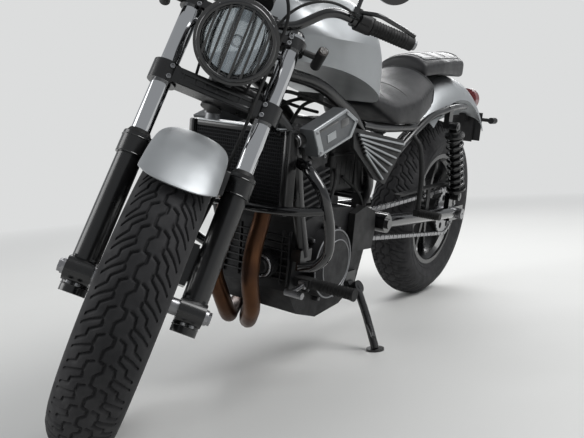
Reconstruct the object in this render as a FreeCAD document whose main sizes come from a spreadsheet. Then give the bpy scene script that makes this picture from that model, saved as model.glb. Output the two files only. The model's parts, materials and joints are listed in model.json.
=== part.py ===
# Cruiser motorcycle, leaning on its side stand with the steering on its left stop.
# Millimetres. Forward is -Y, the rider's left is +X, up is +Z.
# Every piece is drawn upright about a point on the ground midway between the axles,
# and its Placement then leans it and, for what steers, turns it about the steering axis.
import FreeCAD, Part
import Sketcher
import math
import os

Vector = FreeCAD.Vector
Rotation = FreeCAD.Rotation
Placement = FreeCAD.Placement

doc = FreeCAD.newDocument("cruiser_motorcycle")

# Driving dimensions: alias, value, what it is
SIZES = [
    ("wheelbase", 1490, "front axle to rear axle"),
    ("lean_degrees", 10.6, "lean of the parked machine to its left"),
    ("steer_degrees", 41, "steering angle at the left stop"),
    ("rake_degrees", 28, "steering axis from the vertical"),
    ("trail", 110, "ground trail of the front wheel"),
    ("front_tyre_radius", 320, "outside radius of the front tyre"),
    ("front_tyre_width", 130, "section width of the front tyre"),
    ("rear_tyre_radius", 323, "outside radius of the rear tyre"),
    ("rear_tyre_width", 150, "section width of the rear tyre"),
    ("rim_radius", 203, "bead seat radius of both rims"),
    ("rim_wall", 9, "thickness of the rim well"),
    ("front_rim_width", 92, "front rim over its flanges"),
    ("rear_rim_width", 112, "rear rim over its flanges"),
    ("hub_radius", 37, "outside radius of the hubs"),
    ("front_hub_width", 96, "front hub over its bearings"),
    ("rear_hub_width", 120, "rear hub over its bearings"),
    ("axle_radius", 10, "radius of both axles"),
    ("axle_bore", 6, "radius of the hole through the front axle"),
    ("bearing_clearance", 0.3, "running gap round an axle"),
    ("spoke_count", 10, "cast spokes in each wheel"),
    ("front_disc_radius", 148, "front brake disc"),
    ("rear_disc_radius", 120, "rear brake disc"),
    ("disc_thickness", 5, "thickness of both brake discs"),
    ("sprocket_radius", 82, "pitch radius of the rear sprocket"),
    ("drive_sprocket_radius", 35, "pitch radius of the engine sprocket"),
    ("chain_line", 88, "chain centre from the wheel's mid plane"),
    ("chain_width", 14, "width of the chain over its pins"),
    ("chain_height", 14, "height of a chain plate"),
    ("fork_spacing", 230, "distance between the fork legs"),
    ("fork_offset", 30, "fork legs ahead of the steering axis"),
    ("fork_tube_radius", 20.5, "chromed inner fork tube"),
    ("slider_radius", 27, "outer fork slider"),
    ("slider_low", -45, "slider's lower end along the steering axis"),
    ("slider_high", 300, "slider's upper end along the steering axis"),
    ("clamp_low", 446, "mid height of the lower fork clamp"),
    ("clamp_high", 617, "mid height of the upper fork clamp"),
    ("clamp_low_height", 44, "height of the lower fork clamp"),
    ("clamp_high_height", 26, "height of the upper fork clamp"),
    ("fork_top", 640, "top of the fork tubes along the steering axis"),
    ("head_tube_radius", 29, "outside radius of the steering head"),
    ("stem_radius", 15, "steering stem"),
    ("stem_gap", 1, "running gap in the steering head"),
    ("lamp_radius", 88, "outside radius of the headlamp shell"),
    ("lamp_glass_radius", 69, "headlamp glass"),
    ("lamp_high", 600, "headlamp centre along the steering axis"),
    ("lamp_forward", 140, "headlamp glass ahead of the steering axis"),
    ("bar_radius", 11, "handlebar tube"),
    ("grip_radius", 17, "handlebar grip"),
    ("bar_half_width", 372, "end of the handlebar from the mid plane"),
    ("frame_tube", 15, "radius of the main frame tubes"),
    ("rail_tube", 11, "radius of the rear frame tubes"),
    ("crash_tube", 12.5, "radius of the crash bar"),
    ("header_radius", 21, "radius of the header pipes"),
    ("muffler_radius", 52, "radius of the muffler"),
    ("swingarm_radius", 20, "radius of the swingarm tubes"),
    ("swingarm_pivot_y", 140, "swingarm pivot behind the wheelbase's middle"),
    ("swingarm_pivot_z", 362, "height of the swingarm pivot"),
    ("swingarm_spacing", 246, "distance between the swingarm tubes"),
    ("shock_radius", 24, "radius of the damper body"),
    ("spring_radius", 31, "outside radius of the shock springs"),
    ("spring_turns", 7, "turns of each spring"),
    ("fender_gap", 16, "gap between a tyre and its fender"),
    ("fender_sheet", 3, "thickness of the fenders"),
    ("stand_tube", 11, "radius of the side stand leg"),
    ("stand_foot_radius", 24, "radius of the side stand foot"),
    ("stand_foot_thickness", 6, "thickness of the side stand foot"),
    ("stand_fold_degrees", 88, "travel of the side stand"),
    ("peg_radius", 13, "radius of the foot pegs"),
    ("mirror_stem", 5, "radius of a mirror's stem"),
    ("plate_hole", 3.5, "radius of the licence plate's holes"),
    ("plate_hole_spacing", 120, "distance between the licence plate's holes"),
    ("spool_hole", 4, "radius of the paddock spool holes"),
]
sheet = doc.addObject("Spreadsheet::Sheet", "Sizes")
for row, (alias, value, note) in enumerate(SIZES, start=1):
    sheet.set(f"A{row}", note)
    sheet.set(f"B{row}", str(value))
    sheet.setAlias(f"B{row}", alias)
doc.recompute()

ALIASES = sorted((alias for alias, value, note in SIZES), key=len, reverse=True)
X_AXIS = Vector(1, 0, 0)
Y_AXIS = Vector(0, 1, 0)
Z_AXIS = Vector(0, 0, 1)

pieces = {}      # label -> document object
carried_by = {}  # label -> body that carries it


# Helpers


def bound(text):
    """An expression whose size names point at the sheet."""
    words = []
    word = ""
    for letter in str(text) + " ":
        if letter.isalnum() or letter == "_":
            word += letter
            continue
        words.append("Sizes." + word if word in ALIASES else word)
        words.append(letter)
        word = ""
    return "".join(words).strip()


def worth(text):
    """The number that an expression of the sheet comes to."""
    return float(sheet.evalExpression(str(text)))


def at(x, y, z, along=Z_AXIS, turn=0.0):
    """A place at a point, with local Z along a direction and a turn about it."""
    place = Placement(Vector(x, y, z), Rotation(Z_AXIS, Vector(along)))
    return place.multiply(Placement(Vector(), Rotation(Z_AXIS, turn)))


def primitive(kind, name, place=None, **sizes):
    """A primitive whose sizes are bound to the sheet."""
    solid = doc.addObject("Part::" + kind, name)
    for key, text in sizes.items():
        solid.setExpression(key, bound(text))
    if place:
        solid.Placement = place
    return solid


def round_bar(name, start, end, radius):
    """A cylinder from one point to another."""
    run = Vector(end) - Vector(start)
    bar = primitive("Cylinder", name, at(*start, along=run), Radius=radius)
    bar.Height = run.Length
    return bar


def fused(name, solids):
    whole = doc.addObject("Part::MultiFuse", name)
    whole.Shapes = solids
    return whole


def grouped(name, solids):
    whole = doc.addObject("Part::Compound", name)
    whole.Links = solids
    return whole


def cut_from(name, base, tool):
    whole = doc.addObject("Part::Cut", name)
    whole.Base = base
    whole.Tool = tool
    return whole


def shaped(name, shape):
    """A sub-part whose shape neither a body nor a primitive can make."""
    whole = doc.addObject("Part::Feature", name)
    whole.Shape = shape
    return whole


def register(label, solid, carrier):
    solid.Label = label
    pieces[label] = solid
    carried_by[label] = carrier
    return solid


def plane_of(body, role):
    for feature in body.Origin.OriginFeatures:
        if feature.Role == role:
            return feature
    raise ValueError("no plane " + role)


def outline(body, name, role, corners):
    """A closed sketch on an origin plane, its corners given as pairs of expressions."""
    sketch = body.newObject("Sketcher::SketchObject", name)
    sketch.AttachmentSupport = [(plane_of(body, role), "")]
    sketch.MapMode = "FlatFace"
    places = [Vector(worth(across), worth(up), 0) for across, up in corners]
    count = len(places)
    for side in range(count):
        sketch.addGeometry(Part.LineSegment(places[side], places[(side + 1) % count]), False)
    for side in range(count):
        sketch.addConstraint(Sketcher.Constraint("Coincident", side, 2, (side + 1) % count, 1))
    for side, (across, up) in enumerate(corners):
        for kind, text, value in (("DistanceX", across, places[side].x), ("DistanceY", up, places[side].y)):
            number = sketch.addConstraint(Sketcher.Constraint(kind, -1, 1, side, 1, value))
            sketch.setExpression(f"Constraints[{number}]", bound(text))
    return sketch


def turned(name, corners):
    """A body turned about X: corners are pairs of place along X and radius."""
    body = doc.addObject("PartDesign::Body", name)
    sketch = outline(body, name + "_outline", "XZ_Plane", corners)
    turn = body.newObject("PartDesign::Revolution", name + "_turn")
    turn.Profile = sketch
    turn.ReferenceAxis = (sketch, ["H_Axis"])
    turn.Angle = 360
    return body


def padded(name, corners, thickness, role="YZ_Plane"):
    """A flat body of even thickness, half of it on each side of an origin plane."""
    body = doc.addObject("PartDesign::Body", name)
    pad = body.newObject("PartDesign::Pad", name + "_pad")
    pad.Profile = outline(body, name + "_outline", role, corners)
    pad.setExpression("Length", bound(thickness))
    pad.Midplane = True
    return body


def route(points, bend=0.45):
    """Straight runs joined by tangent arcs, each as large as its two runs allow."""
    spots = [Vector(point) for point in points]
    edges = []
    last = spots[0]
    for before, corner, after in zip(spots, spots[1:], spots[2:]):
        back = before - corner
        ahead = after - corner
        half = (math.pi - back.getAngle(ahead)) / 2
        setback = bend * min(back.Length, ahead.Length)
        radius = setback / math.tan(half)
        back.normalize()
        ahead.normalize()
        first = corner + back * setback
        second = corner + ahead * setback
        inward = back + ahead
        inward.normalize()
        middle = corner + inward * (radius / math.cos(half) - radius)
        edges.append(Part.LineSegment(last, first).toShape())
        edges.append(Part.Arc(first, middle, second).toShape())
        last = second
    edges.append(Part.LineSegment(last, spots[-1]).toShape())
    return Part.Wire(edges)


def tube(points, radius, bend=0.45):
    """A round bar bent along a route."""
    path = route(points, bend)
    start = Vector(points[0])
    heading = Vector(points[1]) - start
    section = Part.Wire([Part.makeCircle(radius, start, heading)])
    return path.makePipeShell([section], True, False)


def joined(shapes):
    whole = shapes[0].multiFuse(shapes[1:]) if len(shapes) > 1 else shapes[0]
    return whole


def rod(start, end, radius):
    run = Vector(end) - Vector(start)
    return Part.makeCylinder(radius, run.Length, Vector(start), run)


def block(low, high):
    low, high = Vector(low), Vector(high)
    size = high - low
    return Part.makeBox(size.x, size.y, size.z, low)


def mirrored(shape):
    return shape.mirror(Vector(), X_AXIS)


def both(shape):
    """A shape and its mirror image, as solids that don't touch or as one."""
    return [shape, mirrored(shape)]


def arch_section(y, half_width, low, high, shoulder):
    """A flat-bottomed section across the machine with an arched top."""
    left = Vector(-half_width, y, low)
    right = Vector(half_width, y, low)
    left_up = Vector(-half_width, y, shoulder)
    right_up = Vector(half_width, y, shoulder)
    top = Vector(0, y, high)
    return Part.Wire([
        Part.LineSegment(left, right).toShape(),
        Part.LineSegment(right, right_up).toShape(),
        Part.Arc(right_up, top, left_up).toShape(),
        Part.LineSegment(left_up, left).toShape(),
    ])


def lofted(sections, ruled=False):
    return Part.makeLoft(sections, True, ruled)


def seated(shape, *labels):
    """A shape cut back to the faces of the pieces that it sits on."""
    doc.recompute()
    return shape.cut([pieces[label].Shape for label in labels])


# Steering axis: head is its point nearest the front axle, up_axis runs along it


RAKE = math.radians(sheet.rake_degrees)
up_axis = Vector(0, math.sin(RAKE), math.cos(RAKE))
fore_axis = Vector(0, -math.cos(RAKE), math.sin(RAKE))
front_axle = Vector(0, -sheet.wheelbase / 2, sheet.front_tyre_radius)
rear_axle = Vector(0, sheet.wheelbase / 2, sheet.rear_tyre_radius)
axle_ahead = Vector(0, sheet.trail, sheet.front_tyre_radius).dot(fore_axis)
head = front_axle - fore_axis * axle_ahead


def on_fork(side, along, ahead=0.0):
    """A point beside, along and ahead of the steering axis."""
    return head + Vector(side, 0, 0) + up_axis * along + fore_axis * ahead


# Wheels


def tyre(label, carrier, radius, width, rim_width):
    """A solid ring whose crown is half a circle, closed by its bead seat."""
    half = width / 2
    crown = radius - half
    bead = sheet.rim_radius
    wall = Vector(half - 3, 0, (crown + bead) / 2)
    corners = [Vector(-rim_width / 2, 0, bead), Vector(-half, 0, crown)]
    face = Part.Face(Part.Wire([
        Part.Arc(corners[0], Vector(-wall.x, 0, wall.z), corners[1]).toShape(),
        Part.Arc(corners[1], Vector(0, 0, radius), Vector(half, 0, crown)).toShape(),
        Part.Arc(Vector(half, 0, crown), wall, Vector(rim_width / 2, 0, bead)).toShape(),
        Part.LineSegment(Vector(rim_width / 2, 0, bead), corners[0]).toShape(),
    ]))
    return register(label, shaped(label, face.revolve(Vector(), X_AXIS, 360)), carrier)


def wheel_casting(label, carrier, rim_width, hub_width):
    """Rim, ten spokes and hub as one casting, open round the axle."""
    edge, middle = f"{rim_width} / 2", "rim_radius - rim_wall"
    rim = turned(label + "_rim", [
        (f"-{edge}", "rim_radius"), (edge, "rim_radius"), (edge, middle + " - 6"),
        (edge + " - 9", middle + " - 6"), (edge + " - 22", middle + " - 16"),
        (f"22 - {edge}", middle + " - 16"), (f"9 - {edge}", middle + " - 6"), (f"-{edge}", middle + " - 6"),
    ])
    bore = "axle_radius + bearing_clearance"
    hub = turned(label + "_hub", [
        (f"-{hub_width} / 2", bore), (f"{hub_width} / 2", bore),
        (f"{hub_width} / 2", "hub_radius"), (f"-{hub_width} / 2", "hub_radius"),
    ])
    spokes = []
    reach = sheet.rim_radius - sheet.rim_wall - sheet.hub_radius
    count = int(sheet.spoke_count)
    for number in range(count):
        lean = 5 if number % 2 else -5
        spoke = primitive("Wedge", f"{label}_spoke_{number}")
        for key, value in (("Xmin", -16), ("Xmax", 16), ("X2min", -11), ("X2max", 11), ("Ymin", 0),
                           ("Ymax", reach), ("Zmin", -9), ("Zmax", 9), ("Z2min", -6), ("Z2max", 6)):
            setattr(spoke, key, value)
        turn = Placement(Vector(), Rotation(X_AXIS, 360 * number / count))
        spoke.Placement = turn.multiply(Placement(Vector(0, sheet.hub_radius - 4, 0), Rotation(X_AXIS, lean)))
        spokes.append(spoke)
    return register(label, fused(label, [rim, hub] + spokes), carrier)


def brake_disc(label, carrier, side, hub_half, radius, face):
    """A flat disc on a boss that is bolted to one end of the hub."""
    inner = f"{side} * ({face} - disc_thickness / 2)"
    outer = f"{side} * ({face} + disc_thickness / 2)"
    start = f"{side} * {hub_half}"
    ring = turned(label, [
        (start, "hub_radius - 9"), (start, "hub_radius + 9"), (inner, "hub_radius + 9"), (inner, radius),
        (outer, radius), (outer, "hub_radius - 9"),
    ])
    return register(label, ring, carrier)


def make_wheels():
    tyre("front_tyre", "front_wheel", sheet.front_tyre_radius, sheet.front_tyre_width, sheet.front_rim_width)
    tyre("rear_tyre", "rear_wheel", sheet.rear_tyre_radius, sheet.rear_tyre_width, sheet.rear_rim_width)
    wheel_casting("front_wheel_casting", "front_wheel", "front_rim_width", "front_hub_width")
    wheel_casting("rear_wheel_casting", "rear_wheel", "rear_rim_width", "rear_hub_width")
    front, rear = "front_hub_width / 2", "rear_hub_width / 2"
    brake_disc("front_brake_disc", "front_wheel", 1, front, "front_disc_radius", front + " + 10")
    brake_disc("rear_brake_disc", "rear_wheel", -1, rear, "rear_disc_radius", rear + " + 10")
    brake_disc("rear_sprocket", "rear_wheel", 1, rear, "sprocket_radius + 3", "chain_line")


make_wheels()


# Steering: drawn with Z along the steering axis and -Y ahead of it


FORK_PLACE = Placement(head, Rotation(X_AXIS, -sheet.rake_degrees))
LEGS = (-sheet.fork_spacing / 2, sheet.fork_spacing / 2)
SLIDER_CAP = 46        # thicker collar at a slider's top
RISERS = (-45, 45)     # places of the handlebar risers
RISER_HEIGHT = 40      # handlebar risers above the upper clamp
BAR_BACK = -8          # handlebar bed along the fore axis
CALIPER_BACK = 24      # middle of the front caliper behind the steering axis
CALIPER_GAP = 5        # clearance round a disc in its caliper
LAMP_DEPTH = 56        # headlamp shell, front to back
LAMP_BAND = 26         # straight front part of the headlamp shell
LAMP_EAR = 36          # lamp's ears meet the fork tubes this far ahead of the steering axis
LAMP_BACK_RADIUS = 58  # headlamp shell at its back
LAMP_BARS = 6          # upright bars over the headlamp glass
SIGNAL_STALK = 42      # front turn signals stand this far off the upper clamp
SIGNAL_HALF = 30       # half length of a front turn signal
GRIP_LENGTH = 110      # rubber grip along the bar
MIRROR_RADIUS = 52     # round mirrors


def fork_clamp(label, middle, height, collar):
    """A yoke that grips both fork tubes and turns on the steering stem."""
    low = middle - height / 2
    offset = -sheet.fork_offset
    collars = [Part.makeCylinder(collar, height, Vector(x, offset, low)) for x in LEGS]
    web = block((LEGS[0], offset - collar + 6, low + 4), (LEGS[1], offset + 20, low + height - 4))
    nose = Part.makeCylinder(sheet.stem_radius + 9, height, Vector(0, 0, low))
    yoke = joined(collars + [web, nose])
    bores = [Part.makeCylinder(sheet.fork_tube_radius, height, Vector(x, offset, low)) for x in LEGS]
    return yoke.cut(bores), low


def make_clamps():
    lower, low = fork_clamp("lower_clamp", sheet.clamp_low, sheet.clamp_low_height, 31)
    stem_top = sheet.clamp_high + sheet.clamp_high_height / 2
    stem = Part.makeCylinder(sheet.stem_radius, stem_top - low, Vector(0, 0, low))
    register("lower_clamp", shaped("lower_clamp", lower.fuse(stem)), "steering")
    upper, low = fork_clamp("upper_clamp", sheet.clamp_high, sheet.clamp_high_height, 28)
    bore = Part.makeCylinder(sheet.stem_radius, sheet.clamp_high_height, Vector(0, 0, low))
    nut = Part.makeCylinder(19, 8, Vector(0, 0, stem_top))
    risers = [block((x - 17, -26, stem_top - 4), (x + 17, 10, stem_top + RISER_HEIGHT)) for x in RISERS]
    bed = Vector(-100, BAR_BACK, stem_top + RISER_HEIGHT - 6)
    bar_bed = Part.makeCylinder(sheet.bar_radius, 200, bed, X_AXIS)
    top = joined([upper.cut(bore), nut] + [riser.cut(bar_bed) for riser in risers])
    register("upper_clamp", shaped("upper_clamp", top), "steering")


def make_forks():
    tubes = []
    for name, x in zip(("right", "left"), LEGS):
        tubes.append(primitive("Cylinder", "fork_tube_" + name, Placement(
            Vector(x, -sheet.fork_offset, sheet.slider_high), Rotation()),
            Radius="fork_tube_radius", Height="fork_top - slider_high"))
    register("fork_tubes", grouped("fork_tubes", tubes), "steering")
    sliders = []
    for x in LEGS:
        side = 1 if x > 0 else -1
        foot = Vector(x, -sheet.fork_offset, sheet.slider_low)
        length = sheet.slider_high - sheet.slider_low
        body = Part.makeCylinder(sheet.slider_radius, length, foot)
        foot = Vector(x, -sheet.fork_offset, sheet.slider_high - SLIDER_CAP)
        cap = Part.makeCylinder(sheet.slider_radius + 4, SLIDER_CAP, foot)
        lug = rod((x - 27, -axle_ahead, 0), (x + 27, -axle_ahead, 0), 25)
        web = block((x - 20, -axle_ahead, -22), (x + 20, -sheet.fork_offset, 30))
        bore = rod((x - 40, -axle_ahead, 0), (x + 40, -axle_ahead, 0), sheet.axle_radius)
        sliders.append(joined([body, cap, lug, web]).cut(bore))
    ear_x = sheet.fork_spacing / 2 - 17
    ear = block((ear_x - 12, -sheet.fork_offset + 20, 58), (ear_x + 14, CALIPER_BACK + 16, 128))
    sliders[1] = sliders[1].fuse(ear)
    register("fork_sliders", shaped("fork_sliders", Part.makeCompound(sliders)), "steering")


def make_front_axle():
    reach = sheet.fork_spacing / 2 + 34
    pin = rod((-reach, -axle_ahead, 0), (reach, -axle_ahead, 0), sheet.axle_radius)
    hub_side = sheet.front_hub_width / 2 + 1
    slider_side = sheet.fork_spacing / 2 - 27
    collars = [
        rod((side * hub_side, -axle_ahead, 0), (side * slider_side, -axle_ahead, 0), 17) for side in (-1, 1)
    ]
    heads = [
        rod((side * (sheet.fork_spacing / 2 + 27), -axle_ahead, 0), (side * reach, -axle_ahead, 0), 16)
        for side in (-1, 1)
    ]
    bore = rod((-reach, -axle_ahead, 0), (reach, -axle_ahead, 0), sheet.axle_bore)
    axle = joined([pin] + collars + heads).cut(bore)
    register("front_axle", shaped("front_axle", axle), "steering")


def caliper(middle_x, low, high, slot_radius, centre):
    """A brake caliper with a slot for its disc, about an axle at centre (y, z)."""
    body = block((middle_x - 26, low[0], low[1]), (middle_x + 28, high[0], high[1]))
    half = sheet.disc_thickness / 2 + CALIPER_GAP
    slot = rod((middle_x - half, *centre), (middle_x + half, *centre), slot_radius + CALIPER_GAP)
    return body.cut(slot)


def make_front_brake():
    disc_x = sheet.front_hub_width / 2 + 10
    body = caliper(disc_x, (CALIPER_BACK - 34, 48), (CALIPER_BACK + 24, 138), sheet.front_disc_radius,
                   (-axle_ahead, 0))
    register("front_brake_caliper", shaped("front_brake_caliper", body), "steering")


def fender_shell(tyre_radius, half_width, edge, start, sweep, gap):
    """A sheet arched over a tyre, turned about the axle from start through sweep degrees.

    Angles run from straight up towards the back. The axle is at the origin.
    """
    inner = tyre_radius + gap
    outer = inner + sheet.fender_sheet
    side = half_width + sheet.fender_sheet
    wire = Part.Wire([
        Part.Arc(Vector(-half_width, 0, edge), Vector(0, 0, inner), Vector(half_width, 0, edge)).toShape(),
        Part.LineSegment(Vector(half_width, 0, edge), Vector(side, 0, edge)).toShape(),
        Part.Arc(Vector(side, 0, edge), Vector(0, 0, outer), Vector(-side, 0, edge)).toShape(),
        Part.LineSegment(Vector(-side, 0, edge), Vector(-half_width, 0, edge)).toShape(),
    ])
    face = Part.Face(wire)
    face.rotate(Vector(), X_AXIS, -start)
    return face.revolve(Vector(), X_AXIS, -sweep)


def make_front_fender():
    half = sheet.front_tyre_width / 2 + 9
    edge = sheet.front_tyre_radius - 42
    shell = fender_shell(sheet.front_tyre_radius, half, edge, -36, 92, sheet.fender_gap)
    inset = sheet.fork_spacing / 2 - sheet.slider_radius - 4
    back = axle_ahead - sheet.fork_offset
    tabs = both(block((half, back - 16, 246), (inset, back + 16, 300)))
    fender = joined([shell] + tabs)
    fender.translate(Vector(0, -axle_ahead, 0))
    register("front_fender", shaped("front_fender", fender), "steering")


def make_headlamp():
    """The lamp looks straight ahead, so it is drawn level and set on the steering axis."""
    turn = Placement(Vector(0, 0, sheet.lamp_high), Rotation(X_AXIS, sheet.rake_degrees))
    ahead = Placement(Vector(), Rotation(Z_AXIS, Vector(0, -1, 0)))
    place = turn.multiply(ahead)
    front = sheet.lamp_forward
    taper = LAMP_DEPTH - LAMP_BAND
    shell = Part.makeCone(LAMP_BACK_RADIUS, sheet.lamp_radius, taper, Vector(0, 0, front - LAMP_DEPTH))
    shell = shell.fuse(Part.makeCylinder(sheet.lamp_radius, LAMP_BAND, Vector(0, 0, front - LAMP_BAND)))
    shell = shell.cut(Part.makeCylinder(sheet.lamp_glass_radius, 30, Vector(0, 0, front - 30)))
    ear = rod((LAMP_BACK_RADIUS, 0, front - LAMP_DEPTH + 10), (LEGS[1] - 14, 0, LAMP_EAR), 8)
    shell = joined([shell] + both(ear))
    parts = {
        "headlamp_shell": shell,
        "headlamp_glass": Part.makeCylinder(sheet.lamp_glass_radius, 22, Vector(0, 0, front - 30)),
    }
    ring = Part.makeTorus(sheet.lamp_glass_radius + 8, 5, Vector(0, 0, front + 5.3), Z_AXIS)
    bars = []
    for number in range(LAMP_BARS):
        x = (number - (LAMP_BARS - 1) / 2) * 2 * sheet.lamp_glass_radius / LAMP_BARS
        reach = math.sqrt((sheet.lamp_glass_radius + 7) ** 2 - x ** 2)
        bars.append(block((x - 2.5, -reach, front + 3), (x + 2.5, reach, front + 8)))
    parts["headlamp_guard"] = joined([ring] + bars)
    for label, shape in parts.items():
        shape.Placement = place.multiply(shape.Placement)
        if label == "headlamp_shell":
            shape = seated(shape, "fork_tubes")
        register(label, shaped(label, shape), "steering")


# Handlebar: points are (side, back, along) in the fork's own directions
BAR_POINTS = [(96, BAR_BACK, 664), (168, -22, 742)]


def bar_end():
    return (sheet.bar_half_width, 22, 770)


def make_handlebar():
    half = BAR_POINTS + [bar_end()]
    whole = [(-x, y, z) for x, y, z in reversed(half)] + half
    register("handlebar", shaped("handlebar", tube(whole, sheet.bar_radius, 0.3)), "steering")
    inner, outer = Vector(BAR_POINTS[-1]), Vector(bar_end())
    run = outer - inner
    run.normalize()
    start = outer - run * GRIP_LENGTH
    length = GRIP_LENGTH + 6
    grip = Part.makeCylinder(sheet.grip_radius, length, start, run)
    grip = grip.cut(Part.makeCylinder(sheet.bar_radius, length - 6, start, run))
    grip = grip.fuse(Part.makeCylinder(sheet.grip_radius + 4, 5, start, run).cut(
        Part.makeCylinder(sheet.bar_radius, 5, start, run)))
    register("grips", shaped("grips", Part.makeCompound([grip, mirrored(grip)])), "steering")
    housing_start = start - run * 36
    housing = Part.makeCylinder(22, 34, housing_start, run)
    housing = housing.fuse(Part.makeCylinder(14, 24, housing_start + run * 5 + Vector(0, -16, 0), run))
    bar_cut = Part.makeCylinder(sheet.bar_radius, 80, housing_start - run * 20, run)
    housing = housing.cut(bar_cut)
    register("switch_housings", shaped("switch_housings", Part.makeCompound(
        [housing, mirrored(housing)])), "steering")
    perch = housing_start - run * 12
    clamp = Part.makeCylinder(17, 10, perch, run).cut(bar_cut)
    clamp = clamp.fuse(block(perch + Vector(-8, -44, -7), perch + Vector(12, -15, 7)))
    tip = outer + Vector(-30, -56, -6)
    knuckle, bend = perch + Vector(4, -38, 0), perch + Vector(46, -66, -2)
    blade = tube([knuckle, bend, tip, outer + Vector(-4, -52, -8)], 5, 0.3)
    lever = clamp.fuse(blade)
    levers = Part.makeCompound(both(lever))
    register("control_levers", shaped("control_levers", levers), "steering")
    make_mirrors(perch)


def make_mirrors(perch):
    """A round mirror on a bent stem, screwed into the top of each lever's perch."""
    foot = perch + Vector(2, -24, 7)
    stem = tube([foot, foot + Vector(0, 0, 46), foot + Vector(26, 10, 92), foot + Vector(60, 30, 122)],
                sheet.mirror_stem)
    centre = foot + Vector(66, 34, 130)
    facing = Vector(0, 1, 0.47)
    facing.normalize()
    glass = Part.makeCylinder(MIRROR_RADIUS, 14, centre - facing * 7, facing)
    mirror = stem.fuse(glass)
    register("mirrors", shaped("mirrors", Part.makeCompound([mirror, mirrored(mirror)])), "steering")


def make_front_trim():
    """Round instrument and the turn signals beside the upper clamp."""
    top = sheet.clamp_high + sheet.clamp_high_height / 2
    cup = Part.makeCylinder(43, 26, Vector(0, -76, top + 30), Vector(0, 0.34, 1))
    arm = block((-12, -62, top - 4), (12, -50, top + 40))
    register("instrument", shaped("instrument", cup.fuse(arm)), "steering")
    signals = []
    for side in (-1, 1):
        root = Vector(side * (LEGS[1] + 22), -sheet.fork_offset, sheet.clamp_high)
        tip = root + Vector(side * SIGNAL_STALK, 0, 0)
        stalk = rod(root, tip, 7)
        lens = rod(tip + Vector(0, SIGNAL_HALF, -6), tip + Vector(0, -SIGNAL_HALF, 6), 12)
        signals.append(seated(stalk.fuse(lens), "upper_clamp"))
    register("front_indicators", shaped("front_indicators", Part.makeCompound(signals)), "steering")


# Ground contact: the height and pitch at which both tyres touch the ground


def lowest(place, axis, centre, radius, width):
    """Height of the lowest point of a tyre with a half-round crown."""
    half = width / 2
    direction = place.Rotation.multVec(axis)
    middle = place.multVec(centre)
    return middle.z - (radius - half) * math.sqrt(1 - direction.z ** 2) - half


def steer_about_head(degrees):
    turn = Placement(Vector(), Rotation(up_axis, degrees))
    return Placement(head, Rotation()).multiply(turn).multiply(Placement(-head, Rotation()))


def parked_place():
    steer = steer_about_head(sheet.steer_degrees)
    lean = Placement(Vector(), Rotation(Y_AXIS, sheet.lean_degrees))
    place = lean
    for trial in range(8):
        turned_place = place.multiply(steer)
        front = lowest(turned_place, X_AXIS, front_axle, sheet.front_tyre_radius, sheet.front_tyre_width)
        rear = lowest(place, X_AXIS, rear_axle, sheet.rear_tyre_radius, sheet.rear_tyre_width)
        pitch = math.degrees((front - rear) / sheet.wheelbase)
        place = Placement(Vector(0, 0, -(front + rear) / 2), Rotation(X_AXIS, pitch)).multiply(place)
    return place, steer


PARKED, STEERED = parked_place()
BODY_PLACES = {
    "chassis": PARKED,
    "rear_wheel": PARKED.multiply(Placement(rear_axle, Rotation())),
    "side_stand": PARKED,
    "steering": PARKED.multiply(STEERED).multiply(FORK_PLACE),
    "front_wheel": PARKED.multiply(STEERED).multiply(FORK_PLACE).multiply(
        Placement(Vector(0, -axle_ahead, 0), Rotation())),
}


def make_steering():
    make_clamps()
    make_forks()
    make_front_axle()
    make_front_brake()
    make_front_fender()
    make_headlamp()
    make_handlebar()
    make_front_trim()


make_steering()


# Frame and engine: drawn upright, y behind the wheelbase's middle


ENGINE_HALF = 105       # crankcase side from the mid plane
FRAME_SIDE = 122        # down tubes from the mid plane
PLATE_SIDE = (40, 56)   # swingarm pivot plates from the mid plane
PIVOT = Vector(0, sheet.swingarm_pivot_y, sheet.swingarm_pivot_z)
ARM_SIDE = sheet.swingarm_spacing / 2


def make_frame():
    radius = sheet.frame_tube
    low = sheet.clamp_low + sheet.clamp_low_height / 2 + 4
    high = sheet.clamp_high - sheet.clamp_high_height / 2 - 4
    neck = Part.makeCylinder(sheet.head_tube_radius, high - low, on_fork(0, low), up_axis)
    bore = Part.makeCylinder(sheet.stem_radius + sheet.stem_gap, high - low, on_fork(0, low), up_axis)
    upper = tube([(10, -444, 764), (62, -350, 762), (100, -220, 742), (108, -40, 660), (105, 60, 560),
                  (86, 120, 460), (PLATE_SIDE[1] + 4, 140, 410)], radius)
    down = tube([(8, -460, 727), (78, -400, 690), (FRAME_SIDE, -345, 610), (FRAME_SIDE + 2, -305, 440),
                 (FRAME_SIDE, -262, 330)], radius)
    lug = block((ENGINE_HALF, -290, 316), (FRAME_SIDE + 10, -240, 346))
    plate = Part.Face(Part.makePolygon([
        Vector(PLATE_SIDE[0], y, z) for y, z in
        ((112, 300), (170, 300), (178, 400), (160, 440), (112, 440), (112, 300))]))
    plate = plate.extrude(Vector(PLATE_SIDE[1] - PLATE_SIDE[0] + 16, 0, 0))
    plate = plate.cut(block((PLATE_SIDE[1], 90, 280), (PLATE_SIDE[1] + 40, 200, 408)))
    brace = rod((0, 150, 425), (PLATE_SIDE[0] + 2, 150, 425), 12)
    side = joined([upper, down, lug, plate, brace])
    whole = joined([neck] + both(side))
    pin = rod((-200, PIVOT.y, PIVOT.z), (200, PIVOT.y, PIVOT.z), 9)
    register("frame", shaped("frame", whole.cut(bore.fuse(pin))), "chassis")


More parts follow.
